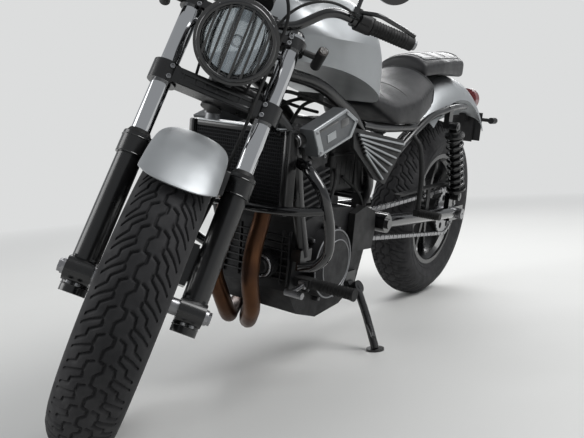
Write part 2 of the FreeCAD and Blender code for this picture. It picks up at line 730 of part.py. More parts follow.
def make_rear_frame():
    radius = sheet.rail_tube
    strut = tube([(92, 128, 498), (110, 180, 530), (117, 320, 616), (118, 440, 668), (118, 640, 699),
                  (98, 800, 700), (60, 868, 698), (0, 880, 698)], radius)
    rail = tube([(112, -8, 642), (110, 90, 632), (108, 220, 630), (112, 340, 633)], radius)
    mount = block((SHOCK_SIDE - 34, 575, 627), (SHOCK_SIDE - 16, 607, 700))
    stud = rod((SHOCK_SIDE - 34, 590, SHOCK_TOP), (SHOCK_SIDE + 16, 590, SHOCK_TOP), 7)
    side = joined([strut, rail, mount, stud])
    bridge = block((-108, 205, 626), (108, 235, SEAT_BASE - SOFT_GAP))
    whole = joined(both(side) + [bridge])
    register("rear_frame", shaped("rear_frame", seated(whole, "frame")), "chassis")


SEAT_BASE = 646    # underside of the rider's seat
SOFT_GAP = 0.3     # clearance under a cushion
SHOCK_SIDE = 144   # shocks from the mid plane
RADIATOR_HALF = 128  # radiator core from the mid plane
SHOCK_TOP = 634    # height of the upper shock eye
CRANKCASE = [("-290", "235"), ("-245", "170"), ("-150", "140"), ("-25", "150"), ("60", "190"), ("96", "290"),
             ("88", "398"), ("-10", "420"), ("-130", "430"), ("-270", "400")]
CYLINDERS = [(-270, 400), (-130, 430), (-158, 548), (-298, 518)]
CYLINDER_HEAD = [(-298, 518), (-158, 548), (-168, 598), (-205, 640), (-285, 628), (-308, 560)]


def side_slab(corners, half):
    """A solid as wide as twice half, its side view given as (y, z) corners."""
    spots = [Vector(-half, y, z) for y, z in corners]
    return Part.Face(Part.makePolygon(spots + spots[:1])).extrude(Vector(2 * half, 0, 0))


def make_engine():
    block_body = padded("crankcase_body", CRANKCASE, str(2 * ENGINE_HALF))
    pocket = primitive("Box", "sprocket_pocket", Placement(
        Vector(ENGINE_HALF - 27, DRIVE_Y - 56, DRIVE_Z - 56), Rotation()),
        Length="40", Width="140", Height="112")
    hollowed = cut_from("crankcase_hollowed", block_body, pocket)
    shaft = shaped("output_shaft", joined([
        rod((70, DRIVE_Y, DRIVE_Z), (sheet.chain_line, DRIVE_Y, DRIVE_Z), 14),
        rod((sheet.chain_line - 2.5, DRIVE_Y, DRIVE_Z), (sheet.chain_line + 2.5, DRIVE_Y, DRIVE_Z),
            sheet.drive_sprocket_radius + 3)]))
    register("crankcase", fused("crankcase", [hollowed, shaft]), "chassis")
    fins = []
    slope = math.atan2(30, 140)
    back = Vector(0, math.cos(slope), math.sin(slope))
    rise = Vector(0, -math.sin(slope), math.cos(slope))
    base = Vector(0, -270, 400)
    for number in range(6):
        foot = base + rise * (18 + 17 * number)
        fin = Part.makeBox(216, 150, 5, Vector(-108, 0, 0))
        fin.Placement = Placement(foot - back * 3, Rotation(X_AXIS, math.degrees(slope)))
        fins.append(fin)
    register("cylinders", shaped("cylinders", joined([side_slab(CYLINDERS, 97)] + fins)), "chassis")
    head_block = side_slab(CYLINDER_HEAD, 104)
    cam_caps = [rod((side * 104, -232, 590), (side * 112, -232, 590), 30) for side in (-1, 1)]
    register("cylinder_head", shaped("cylinder_head", joined([head_block] + cam_caps)), "chassis")
    covers = [
        # side, y, z, radius, depth
        (1, -140, 290, 92, 34), (1, -70, 214, 26, 16), (-1, -130, 280, 104, 40), (-1, 20, 330, 50, 26),
    ]
    shapes = []
    for side, y, z, radius, depth in covers:
        face = Vector(side * ENGINE_HALF, y, z)
        shapes.append(Part.makeCylinder(radius, depth, face, X_AXIS * side))
        shapes.append(Part.makeCone(radius - 8, radius - 26, 10, face + X_AXIS * side * depth, X_AXIS * side))
    register("engine_covers", shaped("engine_covers", joined(shapes)), "chassis")
    filter_base = Vector(34, -258, 300)
    filter_run = Vector(0.1, -1, -0.05)
    oil_filter = Part.makeCylinder(33, 66, filter_base, filter_run)
    oil_filter = oil_filter.cut(side_slab([(float(y), float(z)) for y, z in CRANKCASE], ENGINE_HALF))
    register("oil_filter", shaped("oil_filter", oil_filter), "chassis")
    sprocket_cover = side_slab([(-20, 300), (96, 292), (108, 340), (100, 400), (40, 420), (-20, 405)], 10)
    sprocket_cover.translate(Vector(ENGINE_HALF + 12, 0, 0))
    posts = [rod((ENGINE_HALF, y, z), (ENGINE_HALF + 4, y, z), 7) for y, z in ((-12, 318), (-12, 396))]
    register("sprocket_cover", shaped("sprocket_cover", joined([sprocket_cover] + posts)), "chassis")


def make_cooling():
    core = block((-RADIATOR_HALF, -392, 452), (RADIATOR_HALF, -372, 628))
    tank = block((RADIATOR_HALF, -396, 446), (RADIATOR_HALF + 18, -368, 634))
    stay = block((FRAME_SIDE - 8, -372, 560), (FRAME_SIDE + 8, -336, 576))
    whole = joined([core] + both(tank) + both(stay))
    register("radiator", shaped("radiator", seated(whole, "frame")), "chassis")


def muffler_line():
    """Where the muffler starts and which way it runs."""
    run = Vector(-12, 520, 57)
    run.normalize()
    return Vector(-188, 120, 205), run


def make_exhaust():
    pipes = []
    for x in (-52, 52):
        pipes.append(tube([(x, -280, 560), (x, -328, 554), (x * 1.04, -345, 500), (x * 1.08, -350, 430),
                           (x * 1.1, -384, 350), (x * 1.06, -386, 272), (x * 0.9, -352, 198), (x * 0.6 - 40, -290, 130),
                           (x * 0.5 - 110, -190, 112), (x * 0.3 - 160, -80, 130)], sheet.header_radius))
    start, run = muffler_line()
    inlet = start - run * 60
    collector = tube([(-150, -130, 122), (-168, -50, 150), inlet, start], 29)
    whole = seated(joined(pipes + [collector]), "cylinder_head")
    register("exhaust_headers", shaped("exhaust_headers", whole), "chassis")
    length = 524
    end = start + run * length
    cone = Part.makeCone(30, sheet.muffler_radius, 70, start, run)
    can = Part.makeCylinder(sheet.muffler_radius, length - 70, start + run * 70, run)
    outlet = Part.makeCylinder(24, 16, end, run)
    hole = Part.makeCylinder(20, 60, end - run * 40, run)
    register("muffler", shaped("muffler", joined([cone, can, outlet]).cut(hole)), "chassis")


def make_tank():
    sections = [
        # y, half width, underside, crest, shoulder
        (-330, 54, 796, 872, 826), (-254, 114, 784, 934, 850), (-130, 149, 764, 950, 846),
        (20, 138, 720, 924, 800), (64, 112, 706, 820, 744), (92, 84, 700, 748, 716),
    ]
    tank = lofted([arch_section(*section) for section in sections])
    register("fuel_tank", shaped("fuel_tank", tank), "chassis")
    cap = Part.makeCylinder(34, 22, Vector(0, -150, 944), Z_AXIS)
    register("fuel_cap", shaped("fuel_cap", cap.cut(tank)), "chassis")


def make_seats():
    rider = [
        (92.3, 84, 698, 750, 716), (190, 120, SEAT_BASE, 738, 690), (310, 134, SEAT_BASE, 768, 712),
        (415, 126, 694, 812, 760), (446, 104, 722, 806, 768),
    ]
    cushion = lofted([arch_section(*row) for row in rider], True)
    register("rider_seat", shaped("rider_seat", cushion), "chassis")
    base = rear_axle.z + FENDER_LIFT + FENDER_RADIUS + sheet.fender_sheet + SOFT_GAP
    pillion = [
        (446.3, 78, base - 14, base + 44, base + 18), (560, 92, base, base + 60, base + 34),
        (745, 88, base, base + 74, base + 46), (782, 70, base, base + 78, base + 50),
    ]
    pad = lofted([arch_section(*row) for row in pillion], True)
    register("pillion_pad", shaped("pillion_pad", pad), "chassis")


# Rear end and trim


def make_rear_fender():
    """A short arched fender, high above the tyre, with a side skirt each side."""
    inner = FENDER_RADIUS
    shell = fender_shell(inner, FENDER_HALF, inner - 78, -44, 92, 0)
    shell.translate(rear_axle + Vector(0, 0, FENDER_LIFT))
    register("rear_fender", shaped("rear_fender", shell), "chassis")


def make_plate_holder():
    tongue = block((-40, 1070, 560), (40, 1078, 650))
    plate_arm = block((-70, 1078, 566), (70, 1082, 676))
    holes = [rod((x, 1060, 640), (x, 1100, 640), sheet.plate_hole) for x in PLATE_HOLES]
    holder = joined([plate_arm, tongue]).cut(holes)
    post = block((-14, 1048, 640), (14, 1080, 667))
    whole = seated(holder.fuse(post), "rear_fender", "tail_lamp")
    register("plate_holder", shaped("plate_holder", whole), "chassis")


FENDER_RADIUS = 420   # inside of the rear fender's crown from its own centre
FENDER_HALF = 102     # half width inside the rear fender
FENDER_LIFT = 58      # fender's centre above the rear axle
PLATE_HOLES = (-sheet.plate_hole_spacing / 2, sheet.plate_hole_spacing / 2)


def make_rear_lights():
    lamp = Part.makeCylinder(42, 40, Vector(0, 1058, 724), Vector(0, 1, 0))
    lamp = lamp.fuse(block((-30, 1020, 700), (30, 1064, 712)))
    register("tail_lamp", shaped("tail_lamp", seated(lamp, "rear_fender")), "chassis")
    make_plate_holder()
    signals = []
    for side in (-1, 1):
        root = Vector(side * 70, 1080, 650)
        stalk = rod(root, root + Vector(side * 44, 0, 0), 7)
        lens = rod(root + Vector(side * 44, -26, 0), root + Vector(side * 44, 26, 0), 12)
        signals.append(stalk.fuse(lens))
    register("rear_indicators", shaped("rear_indicators", Part.makeCompound(signals)), "chassis")


SIDE_COVER = [("-104", "640"), ("214", "598"), ("196", "560"), ("112", "478"), ("40", "500"), ("-92", "588")]
SIDE_BOX = [("-356", "640"), ("-214", "690"), ("-150", "664"), ("-176", "620"), ("-318", "578")]


def make_side_panels():
    """Ribbed covers under the rider and boxy covers beside the tank's nose."""
    covers = []
    for side in (-1, 1):
        name = "side_cover_" + ("left" if side > 0 else "right")
        plate = padded(name, SIDE_COVER, "10")
        plate.Placement = Placement(Vector(side * COVER_SIDE, 0, 0), Rotation())
        ribs = []
        for number in range(6):
            share = number / 5
            start = Vector(side * (COVER_SIDE + 7), -84 + 10 * number, 622 - 10 * number)
            end = Vector(side * (COVER_SIDE + 7), 200 - 118 * share, 588 - 92 * share)
            ribs.append(rod(start, end, 5))
        stay = block((min(side * 100, side * (COVER_SIDE - 4)), 20, 590),
                     (max(side * 100, side * (COVER_SIDE - 4)), 44, 604))
        covers.append(plate)
        covers.append(shaped(name + "_ribs", joined(ribs + [seated(stay, "frame", "rear_frame")])))
    register("side_covers", fused("side_covers", covers), "chassis")
    boxes = []
    for side in (-1, 1):
        name = "tank_box_" + ("left" if side > 0 else "right")
        plate = padded(name, SIDE_BOX, "34")
        plate.Placement = Placement(Vector(side * BOX_SIDE, 0, 0), Rotation())
        stay = block((118, -345, 598), (BOX_SIDE - 10, -322, 612))
        stay = stay if side > 0 else mirrored(stay)
        boxes += [plate, shaped(name + "_stay", seated(stay, "frame"))]
    register("tank_side_boxes", fused("tank_side_boxes", boxes), "chassis")


COVER_SIDE = 134   # side covers' mid thickness from the mid plane
BOX_SIDE = 156     # tank side boxes' mid thickness from the mid plane


def make_swingarm():
    radius = sheet.swingarm_radius
    axle_y, axle_z = rear_axle.y, rear_axle.z
    shapes = []
    for side in (-1, 1):
        x = side * ARM_SIDE
        shapes.append(rod((x, PIVOT.y, PIVOT.z), (x, axle_y - 40, axle_z + 3), radius))
        shapes.append(rod((x - 27, PIVOT.y, PIVOT.z), (x + 27, PIVOT.y, PIVOT.z), 27))
        shapes.append(block((x - 10, axle_y - 60, axle_z - 24), (x + 10, axle_y + 62, axle_z + 24)))
        near = side * (SHOCK_SIDE - 25)
        shapes.append(block((near - 9, 674, SHOCK_LOW - 62), (near + 9, 706, SHOCK_LOW + 8)))
        shapes.append(rod((near, 690, SHOCK_LOW), (side * (SHOCK_SIDE + 16), 690, SHOCK_LOW), 7))
    shapes.append(rod((-ARM_SIDE, 262, 352), (ARM_SIDE, 262, 352), 18))
    arm = joined(shapes)
    arm = arm.cut([rod((-200, PIVOT.y, PIVOT.z), (200, PIVOT.y, PIVOT.z), 9),
                   rod((-200, axle_y, axle_z), (200, axle_y, axle_z), sheet.axle_radius)])
    reach = ARM_SIDE + 34
    pin = rod((-reach, PIVOT.y, PIVOT.z), (reach, PIVOT.y, PIVOT.z), 9)
    ends = [rod((side * (ARM_SIDE + 27), PIVOT.y, PIVOT.z), (side * reach, PIVOT.y, PIVOT.z), 15)
            for side in (-1, 1)]
    spacers = [rod((side * PLATE_SIDE[1], PIVOT.y, PIVOT.z), (side * (ARM_SIDE - 27), PIVOT.y, PIVOT.z), 12)
               for side in (-1, 1)]
    whole = joined([arm, pin] + ends + spacers)
    register("swingarm", shaped("swingarm", seated(whole, "frame")), "chassis")


SHOCK_LOW = 392   # height of the lower shock eye


def make_rear_axle():
    y, z = rear_axle.y, rear_axle.z
    arm_in, arm_out = ARM_SIDE - 10, ARM_SIDE + 10
    reach = arm_out + 24
    pin = rod((-reach, y, z), (reach, y, z), sheet.axle_radius)
    shapes = [pin]
    hub = sheet.rear_hub_width / 2
    for side in (-1, 1):
        shapes.append(rod((side * (hub + 1), y, z), (side * arm_in, y, z), 17))
        shapes.append(rod((side * arm_out, y, z), (side * reach, y, z), 19))
    axle = joined(shapes)
    for side in (-1, 1):
        axle = axle.cut(rod((side * (reach - 18), y, z), (side * (reach + 1), y, z), sheet.spool_hole))
    register("rear_axle", shaped("rear_axle", axle), "chassis")


def make_shocks():
    """Damper with its eyes, and its coil as closed rings on two thin risers."""
    top, low = Vector(SHOCK_SIDE, 590, SHOCK_TOP), Vector(SHOCK_SIDE, 690, SHOCK_LOW)
    run = low - top
    length = run.Length
    run.normalize()
    eyes = [rod(spot - X_AXIS * 14, spot + X_AXIS * 14, 16) for spot in (top, low)]
    holes = [rod(spot - X_AXIS * 40, spot + X_AXIS * 40, 7) for spot in (top, low)]
    body = Part.makeCylinder(sheet.shock_radius - 6, length - 26, top + run * 13, run)
    seats = [Part.makeCylinder(sheet.spring_radius + 2, 7, top + run * along, run)
             for along in (26, length - 34)]
    damper = joined([body] + eyes + seats).cut(holes)
    dampers = Part.makeCompound(both(damper))
    register("rear_shocks", shaped("rear_shocks", dampers), "chassis")
    room = length - 34 - 33
    turns = int(sheet.spring_turns)
    wire = 5.5
    rings = []
    for number in range(turns):
        spot = top + run * (33 + wire + (room - 2 * wire) * number / (turns - 1))
        rings.append(Part.makeTorus(sheet.spring_radius - wire, wire, spot, run))
    bore = Part.makeCylinder(sheet.shock_radius - 6, length, top, run)
    spring_foot = top + run * 33
    beside = X_AXIS * (sheet.spring_radius - wire)
    risers = [Part.makeCylinder(2.5, room, spring_foot + beside * side, run) for side in (-1, 1)]
    spring = joined(rings + risers).cut(bore)
    register("shock_springs", shaped("shock_springs", Part.makeCompound(both(spring))), "chassis")


def chain_loop(radius_change):
    """Outline of the chain round both sprockets, grown by a radius."""
    small = sheet.drive_sprocket_radius + radius_change
    large = sheet.sprocket_radius + radius_change
    front = Vector(0, DRIVE_Y, DRIVE_Z)
    back = rear_axle
    run = back - front
    slope = math.atan2(run.z, run.y)
    wrap = math.asin((large - small) / run.Length)

    def spot(centre, radius, angle):
        return centre + Vector(0, math.cos(angle), math.sin(angle)) * radius

    up, down = slope + math.pi / 2 + wrap, slope - math.pi / 2 - wrap
    edges = [
        Part.LineSegment(spot(front, small, up), spot(back, large, up)).toShape(),
        Part.Arc(spot(back, large, up), spot(back, large, slope), spot(back, large, down)).toShape(),
        Part.LineSegment(spot(back, large, down), spot(front, small, down)).toShape(),
        Part.Arc(spot(front, small, down), spot(front, small, slope + math.pi),
                 spot(front, small, up)).toShape(),
    ]
    return Part.Face(Part.Wire(edges))


DRIVE_Y = 52    # engine sprocket behind the wheelbase's middle
DRIVE_Z = 352   # height of the engine sprocket


def make_chain():
    half = sheet.chain_height / 2
    band = chain_loop(4 + half).cut(chain_loop(4 - half))
    chain = band.extrude(Vector(sheet.chain_width, 0, 0))
    chain.translate(Vector(sheet.chain_line - sheet.chain_width / 2, 0, 0))
    slot_half = sheet.disc_thickness / 2 + 1
    slot = chain_loop(4.5).extrude(Vector(2 * slot_half, 0, 0))
    slot.translate(Vector(sheet.chain_line - slot_half, 0, 0))
    chain = chain.cut(slot)
    register("drive_chain", shaped("drive_chain", chain), "chassis")
    guard = side_slab([(300, 424), (690, 434), (700, 428), (300, 418)], 12)
    guard.translate(Vector(sheet.chain_line + 8, 0, 0))
    stay = block((ARM_SIDE - 21, 520, 340), (ARM_SIDE - 16, 544, 424))
    register("chain_guard", shaped("chain_guard", seated(guard.fuse(stay), "swingarm")), "chassis")


def make_rear_brake():
    """Caliper over the right rear disc, its bracket hung on the swingarm."""
    disc_x = -(sheet.rear_hub_width / 2 + 10)
    body = block((disc_x - 33, -66, 54), (disc_x + 22, 26, 112))
    half = sheet.disc_thickness / 2 + CALIPER_GAP
    body = body.cut(rod((disc_x - half, 0, 0), (disc_x + half, 0, 0), sheet.rear_disc_radius + CALIPER_GAP))
    bracket = block((disc_x - 50, -60, -10), (disc_x - 21, -24, 60))
    body = body.fuse(bracket)
    body.translate(rear_axle)
    register("rear_brake_caliper", shaped("rear_brake_caliper", seated(body, "swingarm")), "chassis")


def make_foot_controls():
    pegs, levers = [], []
    for side in (-1, 1):
        bracket = block((min(side * ENGINE_HALF, side * 152), -268, 250),
                        (max(side * ENGINE_HALF, side * 152), -236, 272))
        peg = rod((side * 152, -252, 261), (side * 268, -252, 261), sheet.peg_radius)
        pegs.append(joined([bracket, peg, rod((side * 262, -252, 261), (side * 268, -252, 261), 16)]))
        bends = [(140, -280, 262), (146, -310, 260), (152, -342, 262), (158, -372, 266)]
        arm = tube([(side * x, y, z) for x, y, z in bends], 5)
        toe = rod((side * 150, -372, 266), (side * 196, -372, 266), 8)
        foot = block((min(side * 128, side * 146), -284, 252), (max(side * 128, side * 146), -268, 270))
        levers.append(joined([arm, toe, foot]))
    pegs = [seated(peg, "engine_covers") for peg in pegs]
    register("foot_pegs", shaped("foot_pegs", Part.makeCompound(pegs)), "chassis")
    register("foot_levers", shaped("foot_levers", Part.makeCompound(levers)), "chassis")
    stays = []
    for side in (-1, 1):
        x = side * PASSENGER_PEG
        stay = block((x - 9, 298, 368), (x + 9, 322, 388))
        peg = rod((x, 310, 378), (x + side * 74, 310, 378), 11)
        hanger = tube([(side * 124, 310, 606), (side * 150, 310, 580), (x, 310, 500), (x, 310, 380)], 8)
        stays.append(joined([stay, peg, hanger]))
    stays = [seated(stay, "rear_frame") for stay in stays]
    register("passenger_pegs", shaped("passenger_pegs", Part.makeCompound(stays)), "chassis")


PASSENGER_PEG = 166   # passenger's pegs' stays from the mid plane


def make_crash_bar():
    """Two loops beside the engine joined by a cross tube ahead of the radiator."""
    radius = sheet.crash_tube
    loops = []
    for side in (-1, 1):
        loops.append(tube([(side * x, y, z) for x, y, z in (
            (130, -334, 562), (180, -368, 556), (228, -376, 510), (238, -352, 440), (224, -318, 360),
            (180, -296, 318), (132, -284, 304))], radius))
    cross = tube([(-236, -360, 470), (-190, -392, 462), (-110, -415, 457), (0, -418, 457), (110, -415, 457),
                  (190, -392, 462), (236, -360, 470)], radius - 2)
    feet = [block((min(side * FRAME_SIDE, side * 140), -292, 296),
                  (max(side * FRAME_SIDE, side * 140), -268, 316))
            for side in (-1, 1)]
    whole = seated(joined(loops + [cross] + feet), "frame", "radiator")
    register("crash_bar", shaped("crash_bar", whole), "chassis")


def make_stand_bracket():
    base = block((ENGINE_HALF, STAND_Y - 34, STAND_Z - 22), (ENGINE_HALF + 8, STAND_Y + 34, STAND_Z + 40))
    pivot = Vector(STAND_X, STAND_Y, STAND_Z)
    pin = Part.makeCylinder(7, 44, pivot - stand_axis() * 34, stand_axis())
    ear = Part.makeCylinder(17, 10, pivot - stand_axis() * 22, stand_axis())
    web = block((ENGINE_HALF, STAND_Y - 12, STAND_Z - 10), (STAND_X - 4, STAND_Y + 12, STAND_Z + 14))
    web = web.cut(Part.makeCylinder(80, 60, pivot - stand_axis() * 12, stand_axis()))
    register("stand_bracket", shaped("stand_bracket", joined([base, web, ear, pin])), "chassis")


STAND_X = 140      # side stand pivot from the mid plane
STAND_Y = 10       # side stand pivot behind the wheelbase's middle
STAND_Z = 196      # height of the side stand pivot


def stand_leg_direction():
    """Down, outwards and a little forward when the leg is out."""
    direction = Vector(0.62, -0.22, -1)
    direction.normalize()
    return direction


def stand_axis():
    """Square to the leg when it is out and to its folded direction, back along the frame."""
    folded = Vector(0.12, 1, -0.05)
    axis = stand_leg_direction().cross(folded)
    axis.normalize()
    return axis if axis.x > 0 else axis * -1


def make_side_stand():
    pivot = Vector(STAND_X, STAND_Y, STAND_Z)
    leg_run = stand_leg_direction()
    ground_up = PARKED.Rotation.inverted().multVec(Z_AXIS)
    height = PARKED.multVec(pivot).z
    reach = (height - STAND_SOLE) / -leg_run.dot(ground_up)
    heel = pivot + leg_run * reach
    collar_start = pivot - stand_axis() * 11
    collar = Part.makeCylinder(18, 20, collar_start, stand_axis())
    knee = pivot + leg_run * (reach * 0.45) + Vector(0, 5, 0)
    leg = tube([pivot + leg_run * 10, knee, heel], sheet.stand_tube)
    foot_top = heel + ground_up * (sheet.stand_foot_thickness - STAND_SOLE)
    foot = Part.makeCylinder(sheet.stand_foot_radius, sheet.stand_foot_thickness,
                             foot_top, ground_up * -1)
    toe = tube([pivot + leg_run * (reach * 0.6), pivot + leg_run * (reach * 0.7) + Vector(18, -26, 6),
                pivot + leg_run * (reach * 0.74) + Vector(34, -52, 10)], 5)
    bore = Part.makeCylinder(7 + sheet.bearing_clearance, 60, pivot - stand_axis() * 30, stand_axis())
    stand = joined([collar, leg, foot, toe]).cut(bore)
    below = Part.makeBox(400, 400, 60, Vector(-200, -200, -60))
    sole = Placement(foot_top - ground_up * sheet.stand_foot_thickness, Rotation(Z_AXIS, ground_up))
    below.Placement = sole.multiply(
        below.Placement)
    register("side_stand_leg", shaped("side_stand_leg", stand.cut(below)), "side_stand")


STAND_SOLE = 4   # from the leg's lower end down to the floor


def make_chassis():
    make_frame()
    make_rear_frame()
    make_engine()
    make_cooling()
    make_exhaust()
    make_tank()
    make_seats()
    make_rear_fender()
    make_rear_lights()
    make_side_panels()
    make_swingarm()
    make_rear_axle()
    make_shocks()
    make_chain()
    make_rear_brake()
    make_foot_controls()
    make_crash_bar()
    make_stand_bracket()
    make_side_stand()


make_chassis()


# Origin, checks and export


def centred_place(solids):
    """Moves the parked machine so that the origin is under the middle of its box."""
    box = solids[0].Shape.BoundBox
    for solid in solids:
        box = box.united(solid.Shape.BoundBox)
    return Placement(Vector(-box.Center.x, -box.Center.y, 0), Rotation())


doc.recompute()
for label, solid in pieces.items():
    solid.Placement = BODY_PLACES[carried_by[label]].multiply(solid.Placement)
CENTRED = centred_place(list(pieces.values()))
for solid in pieces.values():
    solid.Placement = CENTRED.multiply(solid.Placement)
doc.recompute()
for item in doc.Objects:
    if "Invalid" in item.State or "Error" in item.State:
        raise ValueError(item.Label + " failed")
for label, solid in pieces.items():
    if solid.Shape.isNull() or not solid.Shape.isValid():
        raise ValueError(label + " is not a valid shape")
os.makedirs("parts", exist_ok=True)
for label, solid in pieces.items():
    solid.Shape.exportStep(f"parts/{label}.step")
    print(label, len(solid.Shape.Solids), round(solid.Shape.Volume / 1000))
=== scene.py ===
# %% [markdown]
# Cruiser motorcycle on its side stand
#
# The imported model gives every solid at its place. This script dresses it: finishes for
# each surface, tyre tread, seats, chain, springs, lamp glass, fasteners and small trim.
# Lengths are metres. Forward is -Y, the rider's left is +X and up is +Z.

# %%
import bpy
import bmesh
import json
import math
import numpy as np
from mathutils import Matrix, Vector


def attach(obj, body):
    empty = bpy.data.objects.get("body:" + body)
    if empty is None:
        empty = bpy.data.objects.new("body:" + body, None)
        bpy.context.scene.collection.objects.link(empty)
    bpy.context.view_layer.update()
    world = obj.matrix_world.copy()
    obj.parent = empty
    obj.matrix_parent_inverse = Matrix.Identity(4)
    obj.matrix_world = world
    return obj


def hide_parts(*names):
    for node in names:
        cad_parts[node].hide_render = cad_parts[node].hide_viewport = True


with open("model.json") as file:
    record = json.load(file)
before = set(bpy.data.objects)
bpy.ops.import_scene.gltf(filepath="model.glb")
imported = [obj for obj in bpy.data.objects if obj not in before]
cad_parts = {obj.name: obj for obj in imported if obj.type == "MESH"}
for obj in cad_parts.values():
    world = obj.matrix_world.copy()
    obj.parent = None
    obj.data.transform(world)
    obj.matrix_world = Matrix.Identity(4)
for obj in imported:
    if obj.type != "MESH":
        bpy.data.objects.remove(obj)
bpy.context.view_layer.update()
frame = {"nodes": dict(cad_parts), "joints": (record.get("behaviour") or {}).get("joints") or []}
joints = {joint["name"]: joint for joint in frame["joints"]}
MM = 0.001

# %% [markdown]
# Frames of reference. The machine leans and its fork is turned, so each detail is drawn
# upright and square, then set into its body's frame. Those frames come from the joints.

# %%
RAKE = math.radians(28)
FRONT_AXLE_AHEAD = 53.1 * MM     # front axle ahead of the steering axis
REAR_AXLE_BACK = 745 * MM        # rear axle behind the wheelbase's middle
REAR_AXLE_HIGH = 323 * MM
SLIDER_SIDE = 115                # fork legs from the mid plane, millimetres
LEG_AHEAD = -30                  # fork legs ahead of the steering axis, millimetres
LOW_CLAMP = 446                  # clamps up the steering axis, millimetres
HIGH_CLAMP = 617


def frame_matrix(across, back, up, origin):
    """Axes as columns, then the origin."""
    turn = Matrix((across, back, up)).transposed()
    return Matrix.Translation(origin) @ turn.to_4x4()


def joint_line(name):
    return Vector(joints[name]["pos_m"]), Vector(joints[name]["axis"]).normalized()


def machine_frame():
    """The chassis upright: origin on the ground midway between the axles."""
    axle, across = joint_line("rear_wheel_spin")
    steer_up = joint_line("steering")[1]
    fore = across.cross(steer_up)
    back = -math.cos(RAKE) * fore + math.sin(RAKE) * steer_up
    up = math.sin(RAKE) * fore + math.cos(RAKE) * steer_up
    origin = axle - back * REAR_AXLE_BACK - up * REAR_AXLE_HIGH
    return frame_matrix(across, back, up, origin)


def fork_frame():
    """Z up the steering axis, -Y ahead of it, level with the front axle."""
    axle, across = joint_line("front_wheel_spin")
    up = joint_line("steering")[1]
    back = -across.cross(up)
    return frame_matrix(across, back, up, axle + back * FRONT_AXLE_AHEAD)


CHASSIS = machine_frame()
FORK = fork_frame()
FRONT_WHEEL = FORK @ Matrix.Translation((0, -FRONT_AXLE_AHEAD, 0))
REAR_WHEEL = CHASSIS @ Matrix.Translation((0, REAR_AXLE_BACK, REAR_AXLE_HIGH))

# %% [markdown]
# Materials. Each finish is a function, so its colour, gloss and grain stay together.

# %%


def linear(hex_colour):
    """Linear colour of an sRGB hex code."""
    channels = [int(hex_colour[start:start + 2], 16) / 255 for start in (0, 2, 4)]
    spread = [(c / 12.92 if c <= 0.04045 else ((c + 0.055) / 1.055) ** 2.4) for c in channels]
    return (*spread, 1.0)


class Finish:
    """A node material with the shader at hand."""

    def __init__(self, name, colour, roughness=0.5, metallic=0.0):
        self.material = bpy.data.materials.new(name)
        self.material.use_nodes = True
        self.nodes = self.material.node_tree.nodes
        self.links = self.material.node_tree.links
        self.shader = self.nodes["Principled BSDF"]
        self.colour = linear(colour)
        self.put("Base Color", self.colour)
        self.put("Roughness", roughness)
        self.put("Metallic", metallic)
        self.coordinates = self.nodes.new("ShaderNodeTexCoord").outputs["Object"]

    def put(self, socket, value):
        self.shader.inputs[socket].default_value = value
        return self

    def texture(self, kind, scale, **settings):
        node = self.nodes.new("ShaderNodeTex" + kind)
        node.inputs["Scale"].default_value = scale
        for key, value in settings.items():
            node.inputs[key].default_value = value
        self.links.new(self.coordinates, node.inputs["Vector"])
        return node

    def ramp(self, source, low, high, start=0.3, end=0.7):
        node = self.nodes.new("ShaderNodeMapRange")
        node.inputs["From Min"].default_value = start
        node.inputs["From Max"].default_value = end
        node.inputs["To Min"].default_value = low
        node.inputs["To Max"].default_value = high
        self.links.new(source, node.inputs["Value"])
        return node.outputs["Result"]

    def vary_roughness(self, scale, low, high, detail=4.0):
        grain = self.texture("Noise", scale, Detail=detail)
        self.links.new(self.ramp(grain.outputs["Fac"], low, high), self.shader.inputs["Roughness"])
        return self

    def vary_colour(self, scale, second, detail=3.0, start=0.35, end=0.7):
        grain = self.texture("Noise", scale, Detail=detail)
        mix = self.nodes.new("ShaderNodeMix")
        mix.data_type = "RGBA"
        mix.inputs["A"].default_value = self.colour
        mix.inputs["B"].default_value = linear(second)
        self.links.new(self.ramp(grain.outputs["Fac"], 0, 1, start, end), mix.inputs["Factor"])
        self.links.new(mix.outputs["Result"], self.shader.inputs["Base Color"])
        return self

    def bump(self, kind, scale, distance, strength=0.5, output=None, **settings):
        grain = self.texture(kind, scale, **settings)
        node = self.nodes.new("ShaderNodeBump")
        node.inputs["Strength"].default_value = strength
        node.inputs["Distance"].default_value = distance
        height = grain.outputs[output] if output else grain.outputs[0]
        self.links.new(height, node.inputs["Height"])
        self.links.new(node.outputs["Normal"], self.shader.inputs["Normal"])
        return self


def painted(name, colour, roughness, coat=0.4, orange_peel=0.00012):
    finish = Finish(name, colour, roughness)
    finish.put("Coat Weight", coat).put("Coat Roughness", 0.12)
    finish.vary_roughness(14, roughness - 0.06, roughness + 0.08)
    return finish.bump("Noise", 900, orange_peel, 0.25)


